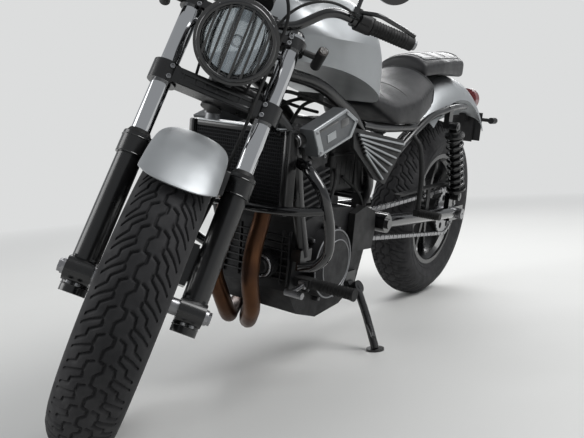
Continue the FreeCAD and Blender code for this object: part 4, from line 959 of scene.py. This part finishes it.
def fork_trim():
    seal = merge([
        cylinder(mm(SLIDER_SIDE, LEG_AHEAD, 299.5), mm(SLIDER_SIDE, LEG_AHEAD, 311), 0.0285, 40, 0.0222),
        ring(mm(SLIDER_SIDE, LEG_AHEAD, 300.5), (0, 0, 1), 0.0292, 0.0014, 40, 8),
    ])
    settle(both_sides(seal), "fork_dust_seals", "steering", "moulded", FORK, 40)
    bands = merge([ring(mm(SLIDER_SIDE, LEG_AHEAD, z), (0, 0, 1), radius, 0.0013, 48, 8)
                   for z, radius in ((256, 0.0302), (292, 0.0312), (-30, 0.0272), (20, 0.0272))])
    settle(both_sides(bands), "fork_slider_rims", "steering", "gloss", FORK, 40)
    cap = merge([
        cylinder(mm(SLIDER_SIDE, LEG_AHEAD, 640), mm(SLIDER_SIDE, LEG_AHEAD, 647), 0.0205, 36, 0.0185),
        cylinder(mm(SLIDER_SIDE, LEG_AHEAD, 646), mm(SLIDER_SIDE, LEG_AHEAD, 654), 0.0125, 6),
    ])
    settle(both_sides(cap), "fork_top_caps", "steering", "gloss", FORK, 30)
    spots = []
    for side in (-1, 1):
        x = side * SLIDER_SIDE
        for z, collar, lift in ((LOW_CLAMP, 31, 12), (HIGH_CLAMP, 28, 7)):
            for up in (-lift, lift):
                spots.append(((x - side * 12, LEG_AHEAD - collar + 3, z + up), (0, -1, 0)))
        spots.append(((x - side * 9, -FRONT_AXLE_AHEAD / MM - 20, -24), (0, 0, -1)))
        spots.append(((x + side * 9, -FRONT_AXLE_AHEAD / MM - 20, -24), (0, 0, -1)))
    fasteners("fork_pinch_bolts", spots, "steering", "aluminium", FORK, 5.2, 5.0)
    yoke = merge([
        slab(mm(-82, -58, 452), mm(82, -52, 462), 0.002),
        slab(mm(-82, -58, 430), mm(82, -52, 440), 0.002),
    ] + [slab(mm(x - 2.5, -57, 436), mm(x + 2.5, -51, 456), 0.001) for x in range(-75, 76, 25)])
    settle(yoke, "lower_clamp_webs", "steering", "frame", FORK, 30)
    nut = merge([cylinder(mm(0, 0, 636), mm(0, 0, 644), 0.0165, 6),
                 ring(mm(0, 0, 638), (0, 0, 1), 0.0175, 0.0016, 40, 8)])
    settle(nut, "steering_stem_nut", "steering", "steel", FORK, 30)


fork_trim()

# %% [markdown]
# Bar ends. Grips are moulded rubber with rings, the mirrors get their glass, and the round
# instrument a bezel, a dark face and plain tick marks.

# %%
BAR_KNEE = Vector((168, -22, 742))      # where the bar turns out to the grip
BAR_END = Vector((372, 22, 770))


def grip_rings():
    run = (BAR_END - BAR_KNEE).normalized()
    start = BAR_END - run * 104
    hoops = [ring((start + run * 7.5 * number) * MM, run, 0.0171, 0.0012, 32, 6) for number in range(13)]
    settle(both_sides(merge(hoops)), "grip_rings", "steering", "moulded", FORK, 60)
    weight = cylinder((BAR_END + run * 6) * MM, (BAR_END + run * 15) * MM, 0.0135, 32, 0.012)
    settle(both_sides(weight), "bar_end_weights", "steering", "aluminium", FORK, 30)
    return run, start


def control_details():
    run, start = grip_rings()
    perch = start - run * (36 + 12 + 6)
    pod = perch + run * 30
    buttons = merge([
        slab((pod + Vector((-5, 14, 6))) * MM, (pod + Vector((3, 24, 12))) * MM, 0.001),
        slab((pod + Vector((-4, 14, -7))) * MM, (pod + Vector((4, 25, -1))) * MM, 0.001),
    ])
    settle(both_sides(buttons), "switch_buttons", "steering", "grey", FORK, 30)
    foot = perch + Vector((2, -24, 7))
    facing = Vector((0, 1, 0.47)).normalized()
    centre = foot + Vector((66, 34, 130)) + facing * 7.2
    glass = cylinder(centre * MM, (centre + facing * 0.9) * MM, 0.0485, 64)
    settle(both_sides(glass), "mirror_glass", "steering", "chrome", FORK, 30)
    rim = ring((centre + facing * 0.2) * MM, facing, 0.0499, 0.0018, 64, 8)
    settle(both_sides(rim), "mirror_rims", "steering", "gloss", FORK, 60)


def instrument_face():
    tilt = Vector((0, 0.34, 1)).normalized()
    top = Vector((0, -76, 660)) + tilt * 26
    bezel = ring(top * MM, tilt, 0.0405, 0.003, 64, 10)
    settle(bezel, "instrument_bezel", "steering", "gloss", FORK, 60)
    face = cylinder((top - tilt * 0.5) * MM, (top + tilt * 0.8) * MM, 0.0385, 64)
    settle(face, "instrument_face", "steering", "smoke", FORK, 30)
    across = Vector((1, 0, 0))
    away = tilt.cross(across)
    marks = []
    for number in range(25):
        angle = math.radians(-120 + 10 * number)
        spoke = across * math.sin(angle) + away * math.cos(angle)
        inner = 29 if number % 4 else 26
        marks.append(cylinder((top + spoke * inner + tilt * 0.7) * MM, (top + spoke * 33 + tilt * 0.7) * MM,
                              0.0006, 6))
    settle(merge(marks), "instrument_ticks", "steering", "aluminium", FORK, 0)


def signal_lens(name, tips, body, matrix, finish):
    """Lenses that close the ends of the round signal bodies."""
    caps = []
    for tip, run in tips:
        tip, run = Vector(tip), Vector(run).normalized()
        caps.append(cylinder(tip * MM, (tip + run * 3) * MM, 0.0112, 28, 0.0085))
    settle(merge(caps), name, body, finish, matrix, 40)


control_details()
instrument_face()
TIP_SIDE = SLIDER_SIDE + 22 + 42
signal_lens("front_signal_lenses", [((side * TIP_SIDE, LEG_AHEAD - 30, 623), (0, -1, 0.2))
                                    for side in (-1, 1)], "steering", FORK, "smoke")


def rear_signals():
    """Stalks and round housings like the solids, each closed by a lens at its back."""
    housing = merge([cylinder(mm(70, 1080, 650), mm(114, 1080, 650), 0.007, 20),
                     cylinder(mm(114, 1054, 650), mm(114, 1101, 650), 0.012, 32)])
    pair = both_sides(housing)
    settle(pair, "rear_signal_housings", "chassis", "plastic", CHASSIS, 35)
    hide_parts("rear_indicators")
    lens = cylinder(mm(114, 1101, 650), mm(114, 1105.8, 650), 0.0119, 28, 0.0095)
    settle(both_sides(lens), "rear_signal_lenses", "chassis", "amber", CHASSIS, 40)


rear_signals()

# %% [markdown]
# Radiator face. A brazed core is rows of flat tubes with folded fins between them, here
# thin slats and uprights, under a silver top trim, with a filler cap and two hoses.

# %%
CORE_FRONT = -393.5      # front face of the radiator core


def radiator_details():
    slats = [slab(mm(-124, CORE_FRONT - 2, 457 + 8.3 * row), mm(124, CORE_FRONT + 3, 459 + 8.3 * row))
             for row in range(21)]
    fins = [slab(mm(-123 + 6 * column, CORE_FRONT - 0.6, 456), mm(-122.3 + 6 * column, CORE_FRONT + 3, 624))
            for column in range(41)]
    settle(merge(slats + fins), "radiator_fins", "chassis", "aluminium_dark", CHASSIS, 0)
    trim = merge([slab(mm(-120, -402, 622), mm(120, -366, 634), 0.003),
                  slab(mm(-146, -401, 444), mm(-130, -364, 636), 0.004),
                  slab(mm(130, -401, 444), mm(146, -364, 636), 0.004),
                  slab(mm(-132, -400, 444), mm(132, -368, 454), 0.003)])
    settle(trim, "radiator_frame", "chassis", "frame", CHASSIS)
    plate = slab(mm(-118, -404, 634), mm(118, -352, 637.5), 0.0015)
    settle(plate, "radiator_top_trim", "chassis", "silver", CHASSIS)
    cap = merge([cylinder(mm(-96, -376, 637), mm(-96, -376, 652), 0.019, 32, 0.016),
                 slab(mm(-118, -380, 648), mm(-74, -372, 655), 0.002)])
    settle(cap, "radiator_cap", "chassis", "aluminium", CHASSIS)
    upper = [(138, -376, 610), (142, -340, 622), (120, -300, 600), (96, -270, 560)]
    lower = [(-138, -380, 470), (-146, -340, 452), (-128, -290, 420), (-106, -230, 384)]
    hoses = [pipe([mm(*point) for point in run], 0.014, 16) for run in (upper, lower)]
    settle(merge(hoses), "radiator_hoses", "chassis", "moulded", CHASSIS, 60)
    bands = merge([ring(mm(*at), way, 0.0146, 0.0016, 32, 6) for at, way in (
        ((139, -368, 613), (0.1, 1, 0.3)), ((-139, -370, 467), (-0.2, 1, -0.4)))])
    settle(bands, "hose_clamps", "chassis", "steel", CHASSIS, 60)


radiator_details()

# %% [markdown]
# Engine trim. Each cover gets a bright edge and the ring of bolts that hold it, the oil
# filter an end ring, the head its bolts.

# %%
COVERS = ((1, -140, 290, 92, 34), (1, -70, 214, 26, 16), (-1, -130, 280, 104, 40), (-1, 20, 330, 50, 26))
ENGINE_SIDE = 105


def engine_details():
    rims, spots, inner = [], [], []
    for side, back, up, radius, depth in COVERS:
        face = side * (ENGINE_SIDE + depth)
        rims.append(ring(mm(face, back, up), (side, 0, 0), (radius - 3) * MM, 0.0022, 72, 8))
        rims.append(ring(mm(face + side * 9.6, back, up), (side, 0, 0), (radius - 27) * MM
                         if radius > 40 else (radius - 14) * MM, 0.0016, 64, 8))
        count = 9 if radius > 60 else 5
        lug = radius + 5
        for number in range(count):
            angle = 2 * math.pi * number / count + 0.3
            at = (side * ENGINE_SIDE, back + lug * math.cos(angle), up + lug * math.sin(angle))
            inner.append(cylinder(mm(at[0] - side * 4, at[1], at[2]), mm(at[0] + side * 12, at[1], at[2]),
                                  0.0085, 18, 0.0075))
            spots.append(((at[0] + side * 11.5, at[1], at[2]), (side, 0, 0)))
    settle(merge(rims), "cover_edges", "chassis", "aluminium", CHASSIS, 60)
    settle(merge(inner), "cover_lugs", "chassis", "engine", CHASSIS, 40)
    fasteners("cover_bolts", spots, "chassis", "steel", CHASSIS, 4.6, 4.0)
    run = Vector((0.1, -1, -0.05)).normalized()
    end = Vector((34, -258, 300)) + run * 66
    band = ring(end * MM, run, 0.0262, 0.0034, 64, 12)
    settle(band, "oil_filter_ring", "chassis", "steel", CHASSIS, 60)
    beads = [cylinder(end * MM, (end + run * 7) * MM, 0.0215, 48, 0.017)]
    for number in range(4):
        low = end - run * 40 + run * 9 * number
        high = end - run * 37 + run * 9 * number
        beads.append(cylinder(low * MM, high * MM, 0.0342, 48))
    settle(merge(beads), "oil_filter_end", "chassis", "engine", CHASSIS, 40)
    head = []
    for side in (-1, 1):
        for back, up in ((-262, 596), (-206, 612), (-176, 566), (-244, 552)):
            head.append(((side * 103.5, back, up), (side, 0, 0)))
    fasteners("head_bolts", head, "chassis", "steel", CHASSIS, 4.6, 4.0)
    sump = [((x, -252 + 1.5, z), (0, -1, 0)) for x in (-84, 84) for z in (232, 338)]
    fasteners("case_front_bolts", sump, "chassis", "steel", CHASSIS, 4.6, 4.0)


engine_details()

# %% [markdown]
# Side panels. The box beside the frame has a bright bevelled border around a field with
# recessed slots drawn as flat dark plates of painted shade, and a bare label plate; silver strips on the tops
# of the triangular cover's black ribs are painted highlight.

# %%
BOX_CORNERS = ((-356, 640), (-214, 690), (-150, 664), (-176, 620), (-318, 578))


def outline_plate(corners, low, high, shrink=1.0, bevel=0.002):
    """A flat plate with the given outline between two distances from the mid plane."""
    middle = [sum(corner[axis] for corner in corners) / len(corners) for axis in (0, 1)]
    clear_selection()
    mesh = bpy.data.meshes.new("plate")
    points = [[middle[axis] + (corner[axis] - middle[axis]) * shrink for axis in (0, 1)]
              for corner in corners]
    mesh.from_pydata([mm(low, *point) for point in points], [], [list(range(len(points)))])
    plate = bpy.data.objects.new("plate", mesh)
    bpy.context.collection.objects.link(plate)
    plate.select_set(True)
    bpy.context.view_layer.objects.active = plate
    bpy.ops.object.mode_set(mode="EDIT")
    bpy.ops.mesh.select_all(action="SELECT")
    bpy.ops.mesh.extrude_region_move(TRANSFORM_OT_translate={"value": ((high - low) * MM, 0, 0)})
    bpy.ops.mesh.select_all(action="SELECT")
    bpy.ops.mesh.normals_make_consistent(inside=False)
    bpy.ops.object.mode_set(mode="OBJECT")
    apply_modifier(plate, "BEVEL", width=bevel, segments=3, limit_method="ANGLE")
    return plate


def field_patch(along_low, along_high, up_low, up_high, outer):
    """A low plate on the box's field, placed along and across the field's lower edge."""
    corners = []
    for along, across in ((along_low, up_low), (along_high, up_low), (along_high, up_high),
                          (along_low, up_high)):
        corners.append((-318 + 0.959 * along - 0.284 * across, 578 + 0.284 * along + 0.959 * across))
    return outline_plate(corners, 173.2, outer, 1.0, 0.0004)


def side_box():
    border = outline_plate(BOX_CORNERS, 171, 177, 0.985, 0.0028)
    field = outline_plate(BOX_CORNERS, 160, 190, 0.80, 0.0015)
    cut(border, field)
    settle(both_sides(border), "side_box_border", "chassis", "silver", CHASSIS, 35)
    floor = outline_plate(BOX_CORNERS, 172.5, 173.6, 0.82, 0.0002)
    settle(both_sides(floor), "side_box_field", "chassis", "grey", CHASSIS, 35)
    # The recessed slots are drawn as flat dark plates on the grey field: painted shade in place of the
    # recesses.
    dark = [field_patch(*edges, 174.2) for edges in ((8, 92, 55, 61), (104, 142, 36, 57))]
    settle(both_sides(merge(dark)), "side_box_slot_shade", "chassis", "gloss", CHASSIS, 35)
    light = [field_patch(*edges, 175.4) for edges in ((40, 78, 22, 40), (-4, 5, 8, 27))]
    settle(both_sides(merge(light)), "side_box_label", "chassis", "silver", CHASSIS, 35)
    spots = [((side * 176.5, back, up), (side, 0, 0)) for side in (-1, 1)
             for back, up in ((-340, 634), (-214, 681), (-160, 660), (-316, 589))]
    fasteners("side_box_screws", spots, "chassis", "steel", CHASSIS, 3.4, 2.2)


def painted_rib_highlights():
    # Silver strips on the tops of the black plastic ribs: painted highlight, the sunlit glint on them.
    crests = []
    for number in range(6):
        start = mm(146.2, -84 + 10 * number, 622 - 10 * number)
        end = mm(146.2, 200 - 118 * number / 5, 588 - 92 * number / 5)
        crests.append(cylinder(start, end, 0.0030, 12))
    settle(both_sides(merge(crests)), "side_cover_rib_painted_highlights", "chassis", "silver", CHASSIS, 40)


side_box()
painted_rib_highlights()

# %% [markdown]
# Exhaust trim: rings round the silencer and its outlet, and a heat shield of strips.

# %%
PIPE_START = Vector((-188, 120, 205))
PIPE_RUN = Vector((-12, 520, 57)).normalized()


def exhaust_details():
    end = PIPE_START + PIPE_RUN * 524
    trim = [ring(end * MM, PIPE_RUN, 0.0245, 0.003, 48, 10),
            ring((end - PIPE_RUN * 5) * MM, PIPE_RUN, 0.0505, 0.0024, 64, 8),
            ring((PIPE_START + PIPE_RUN * 72) * MM, PIPE_RUN, 0.0525, 0.0018, 64, 8)]
    settle(merge(trim), "muffler_end_rings", "chassis", "steel", CHASSIS, 60)
    outward = Vector((-1, 0, 0.35)).normalized()
    up = PIPE_RUN.cross(outward).normalized()
    outward = up.cross(PIPE_RUN).normalized()
    strips = []
    for number in range(-4, 5):
        angle = math.radians(11 * number)
        lift = outward * math.cos(angle) + up * math.sin(angle)
        start = PIPE_START + PIPE_RUN * 120 + lift * 55.5
        strips.append(cylinder(start * MM, (start + PIPE_RUN * 330) * MM, 0.0036, 12))
    for along in (118, 285, 452):
        arch = [(PIPE_START + PIPE_RUN * along + (outward * math.cos(math.radians(a))
                 + up * math.sin(math.radians(a))) * 55.5) * MM for a in range(-50, 51, 10)]
        strips.append(pipe(arch, 0.0042, 10))
    settle(merge(strips), "heat_shield", "chassis", "gloss", CHASSIS, 60)


exhaust_details()

# %% [markdown]
# Small parts: fuel cap hinge and lock, tail lens, bare plate, rubber sleeves on the pegs,
# axle nuts and chain adjusters.

# %%


def tank_details():
    cap = merge([ring(mm(0, -150, 964), (0, 0, 1), 0.031, 0.0022, 64, 8),
                 slab(mm(-5, -190, 952), mm(5, -178, 966), 0.002),
                 cylinder(mm(0, -150, 965), mm(0, -150, 968), 0.009, 28),
                 slab(mm(-13, -142, 965), mm(13, -134, 969), 0.0015)])
    settle(cap, "fuel_cap_details", "chassis", "chrome", CHASSIS, 35)
    spots = [((22 * math.cos(math.radians(a)), -150 + 22 * math.sin(math.radians(a)), 965.2), (0, 0, 1))
             for a in (30, 150, 210, 330)]
    fasteners("fuel_cap_screws", spots, "chassis", "steel", CHASSIS, 2.6, 1.8)


def rear_details():
    lens = cylinder(mm(0, 1096, 724), mm(0, 1101, 724), 0.038, 64, 0.034)
    settle(lens, "tail_lens", "chassis", "red", CHASSIS, 40)
    bezel = ring(mm(0, 1096, 724), (0, 1, 0), 0.040, 0.0024, 64, 10)
    settle(bezel, "tail_bezel", "chassis", "gloss", CHASSIS, 60)
    plate = slab(mm(-66, 1082.5, 570), mm(66, 1084.5, 672), 0.0008)
    settle(plate, "blank_plate", "chassis", "plate_white", CHASSIS)
    spots = [((side * 52, 1084.5, 662), (0, 1, 0)) for side in (-1, 1)]
    fasteners("plate_screws", spots, "chassis", "steel", CHASSIS, 3.2, 2.0)


def peg_sleeves():
    hoops = [cylinder(mm(172 + 10 * n, -252, 261), mm(177 + 10 * n, -252, 261), 0.0148, 28) for n in range(9)]
    hoops += [cylinder(mm(176 + 8 * n, 310, 378), mm(180 + 8 * n, 310, 378), 0.0126, 24) for n in range(7)]
    settle(both_sides(merge(hoops)), "peg_sleeves", "chassis", "moulded", CHASSIS, 30)


def axle_nuts():
    front = merge([cylinder(mm(149, 0, 0), mm(156, 0, 0), 0.0135, 6),
                   cylinder(mm(-156, 0, 0), mm(-149, 0, 0), 0.0135, 6)])
    settle(front, "front_axle_nuts", "steering", "steel", FRONT_WHEEL, 30)
    rear = merge([cylinder(mm(138, 745, 323), mm(150, 745, 323), 0.016, 6),
                  cylinder(mm(-150, 745, 323), mm(-138, 745, 323), 0.016, 6)])
    settle(rear, "rear_axle_nuts", "chassis", "steel", CHASSIS, 30)
    spots = [((side * 123, 812, 323), (0, 1, 0)) for side in (-1, 1)]
    fasteners("chain_adjusters", spots, "chassis", "steel", CHASSIS, 6, 7)


tank_details()
rear_details()
peg_sleeves()
axle_nuts()

# %% [markdown]
# Throttle bodies in rubber boots, an air box, a battery box, a fan shroud, a coil and wiring
# fill the dark space under the tank. What it really holds can't be seen, so all are guesses.

# %%


def intake_and_boxes():
    boots = []
    for side in (-1, 1):
        x = side * 36
        boots.append(cylinder(mm(x, -166, 566), mm(x, -68, 560), 0.022, 36))
        for back in (-150, -128, -100, -84):
            boots.append(ring(mm(x, back, 565), (0, 1, -0.06), 0.0225, 0.0026, 40, 8))
    settle(merge(boots), "throttle_boots", "chassis", "moulded", CHASSIS, 50)
    bodies = [cylinder(mm(side * 36, -122, 565), mm(side * 36, -108, 564), 0.026, 36) for side in (-1, 1)]
    bodies.append(cylinder(mm(-62, -115, 590), mm(62, -115, 590), 0.006, 20))
    settle(merge(bodies), "throttle_bodies", "chassis", "aluminium_dark", CHASSIS, 40)
    box = slab(mm(-70, -70, 456), mm(70, 58, 650), 0.012, 4)
    lips = [slab(mm(-74, -74, 556), mm(74, 62, 564), 0.003)]
    lips += [slab(mm(-71.5, -50 + 26 * n, 476), mm(71.5, -44 + 26 * n, 540), 0.002) for n in range(4)]
    settle(merge([box] + lips), "air_box", "chassis", "plastic", CHASSIS, 35)
    tray = slab(mm(-68, 70, 446), mm(68, 190, 610), 0.008, 3)
    straps = [slab(mm(-69.5, 100 + 44 * n, 445), mm(69.5, 112 + 44 * n, 611.5), 0.001) for n in range(2)]
    settle(merge([tray] + straps), "battery_box", "chassis", "plastic", CHASSIS, 35)
    shroud = slab(mm(-98, -366, 466), mm(98, -336, 616), 0.008, 3)
    settle(shroud, "fan_shroud", "chassis", "plastic", CHASSIS, 35)


def wiring():
    runs = [
        [(30, -420, 690), (46, -330, 724), (60, -200, 706), (66, -60, 676), (60, 40, 660)],
        [(-30, -420, 690), (-48, -330, 722), (-58, -200, 702), (-64, -60, 672), (-58, 40, 660)],
        [(20, -90, 700), (26, -160, 692), (34, -210, 668), (36, -236, 640)],
        [(-20, -90, 700), (-26, -160, 692), (-34, -210, 668), (-36, -236, 640)],
        [(72, -60, 520), (96, -90, 500), (106, -120, 470), (104, -130, 430)],
        [(74, -20, 500), (92, 20, 470), (98, 60, 440), (92, 84, 400)],
    ]
    lines = [pipe([mm(*point) for point in run], 0.0045, 10) for run in runs]
    settle(merge(lines), "wiring_loom", "chassis", "moulded", CHASSIS, 60)
    coil = slab(mm(-34, -112, 692), mm(34, -84, 716), 0.004)
    settle(coil, "ignition_coil", "chassis", "plastic", CHASSIS, 35)
    ribs = [slab(mm(-96, -293.5, 262 + 18 * n), mm(96, -284, 266 + 18 * n), 0.0012) for n in range(7)]
    webs = [slab(mm(x - 2, -293.5, 250), mm(x + 2, -284, 386), 0.0012) for x in (-98, -50, 78, 98)]
    settle(merge(ribs + webs), "case_front_ribs", "chassis", "engine", CHASSIS, 35)


intake_and_boxes()
wiring()

# %% [markdown]
# Two control cables and a brake line are the cords here. Each is a smooth tube held at both
# ends, along listed points placed clear of the parts round it.

# %%
CABLE_THICK = 0.0062      # a plain control cable's outer sleeve
BRAKE_THICK = 0.0075
CABLE_ORDER = 4


def free_cable(name, points, thick, body, matrix, finish="moulded"):
    """A cord on one open spline, with the exit at its first point."""
    places = [matrix @ mm(*point) for point in points]
    curve = spline_curve(places, CABLE_ORDER, 24)
    curve.name = name
    curve.bevel_depth = thick / 2
    curve.bevel_resolution = 5
    curve.use_fill_caps = True
    line = bpy.data.objects.new(name, curve)
    bpy.context.collection.objects.link(line)
    curve.materials.append(finishes[finish])
    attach(line, body)
    length = run_length(places)
    print(name, "is", round(length, 3), "m long")


def run_length(places):
    """Length of the spline along these control points, measured on a fine copy."""
    probe = curve_mesh(spline_curve(places, CABLE_ORDER, 64))
    points = [vertex.co.copy() for vertex in probe.data.vertices]
    total = sum((b - a).length for a, b in zip(points, points[1:]))
    bpy.data.objects.remove(probe)
    return total


CLUTCH_RUN = [(252, -6, 748), (196, -70, 742), (122, -106, 712), (70, -86, 652), (64, -66, 600),
              (62, -60, 540), (58, -42, 500), (56, -32, 468)]
THROTTLE_RUN = [(-252, -6, 748), (-192, -76, 738), (-118, -108, 706), (-68, -86, 650),
                (-62, -68, 600), (-60, -62, 540), (-57, -42, 500), (-54, -32, 468)]
BRAKE_RUN = [(-228, -6, 756), (-165, -92, 762), (-50, -132, 724), (50, -128, 700), (86, -84, 650),
             (84, -66, 600), (82, -68, 520), (80, -68, 450), (82, -60, 400), (79, -6, 330),
             (78, 0, 260), (72, 16, 200), (66, 24, 139)]

free_cable("clutch_cable", CLUTCH_RUN, CABLE_THICK, "steering", FORK)
free_cable("throttle_cable", THROTTLE_RUN, CABLE_THICK, "steering", FORK)
free_cable("brake_line", BRAKE_RUN, BRAKE_THICK, "steering", FORK)

# %% [markdown]
# Camera, light and floor. The camera stands low at the front left, as in the photograph.

# %%
CAMERA_PLACE = Vector((0.9989, -1.7407, 0.5418))
CAMERA_LOOK = Vector((-0.5544, 0.8273, -0.0902))
CAMERA_UP = Vector((0.0045, 0.1114, 0.9938))
CAMERA_LENS = 43.8


def add_camera():
    data = bpy.data.cameras.new("photo_camera")
    data.lens = CAMERA_LENS
    data.sensor_width = 36
    data.clip_start = 0.02
    camera = bpy.data.objects.new("photo_camera", data)
    bpy.context.collection.objects.link(camera)
    right = CAMERA_LOOK.cross(CAMERA_UP).normalized()
    up = right.cross(CAMERA_LOOK).normalized()
    camera.matrix_world = frame_matrix(right, up, -CAMERA_LOOK.normalized(), CAMERA_PLACE)
    bpy.context.scene.camera = camera


def area_light(name, place, target, size, power):
    data = bpy.data.lights.new(name, "AREA")
    data.shape = "RECTANGLE"
    data.size = size[0]
    data.size_y = size[1]
    data.energy = power
    light = bpy.data.objects.new(name, data)
    light.location = place
    light.rotation_euler = (Vector(target) - Vector(place)).to_track_quat("-Z", "Y").to_euler()
    bpy.context.collection.objects.link(light)


BACKDROP = "dcdddd"       # what the camera sees where the floor runs out


def seen_only(nodes, links):
    """One for rays that carry the backdrop to the picture, nought for light on the object."""
    path = nodes.new("ShaderNodeLightPath")
    total = path.outputs["Is Camera Ray"]
    for output in ("Is Glossy Ray", "Is Transmission Ray"):
        add = nodes.new("ShaderNodeMath")
        add.operation = "MAXIMUM"
        links.new(total, add.inputs[0])
        links.new(path.outputs[output], add.inputs[1])
        total = add.outputs[0]
    return total


def make_floor():
    bpy.ops.mesh.primitive_plane_add(size=60)
    floor = bpy.context.object
    floor.name = "studio_floor"
    surface = Finish("studio_floor", "d0d0ce", 0.6)
    surface.vary_roughness(3, 0.55, 0.68)
    nodes, links = surface.nodes, surface.links
    distance = nodes.new("ShaderNodeVectorMath")
    distance.operation = "LENGTH"
    links.new(surface.coordinates, distance.inputs[0])
    fade = surface.ramp(distance.outputs["Value"], 0, 1, 1.8, 5.5)
    share = nodes.new("ShaderNodeMath")
    share.operation = "MULTIPLY"
    links.new(fade, share.inputs[0])
    links.new(seen_only(nodes, links), share.inputs[1])
    glow = nodes.new("ShaderNodeEmission")
    glow.inputs["Color"].default_value = linear(BACKDROP)
    mix = nodes.new("ShaderNodeMixShader")
    links.new(share.outputs[0], mix.inputs["Fac"])
    links.new(surface.shader.outputs["BSDF"], mix.inputs[1])
    links.new(glow.outputs["Emission"], mix.inputs[2])
    links.new(mix.outputs["Shader"], nodes["Material Output"].inputs["Surface"])
    floor.data.materials.append(surface.material)


def make_world():
    """Soft light from all round; the camera sees the backdrop's colour instead."""
    world = bpy.data.worlds.new("studio")
    world.use_nodes = True
    nodes, links = world.node_tree.nodes, world.node_tree.links
    light = nodes["Background"]
    light.inputs["Color"].default_value = linear("e4e7ea")
    light.inputs["Strength"].default_value = 0.5
    seen = nodes.new("ShaderNodeBackground")
    seen.inputs["Color"].default_value = linear(BACKDROP)
    mix = nodes.new("ShaderNodeMixShader")
    path = nodes.new("ShaderNodeLightPath")
    links.new(path.outputs["Is Camera Ray"], mix.inputs["Fac"])
    links.new(light.outputs["Background"], mix.inputs[1])
    links.new(seen.outputs["Background"], mix.inputs[2])
    links.new(mix.outputs["Shader"], nodes["World Output"].inputs["Surface"])
    bpy.context.scene.world = world


def add_studio():
    make_floor()
    make_world()
    area_light("key", (2.6, 0.9, 3.4), (0, 0, 0.5), (2.4, 2.4), 130)
    area_light("fill", (-3.2, -2.6, 2.4), (0, 0, 0.5), (2.5, 2.5), 60)
    area_light("rim", (-1.4, 3.4, 2.6), (0, 0, 0.6), (3.0, 1.6), 90)
    bpy.context.scene.view_settings.view_transform = "Standard"


add_camera()
add_studio()
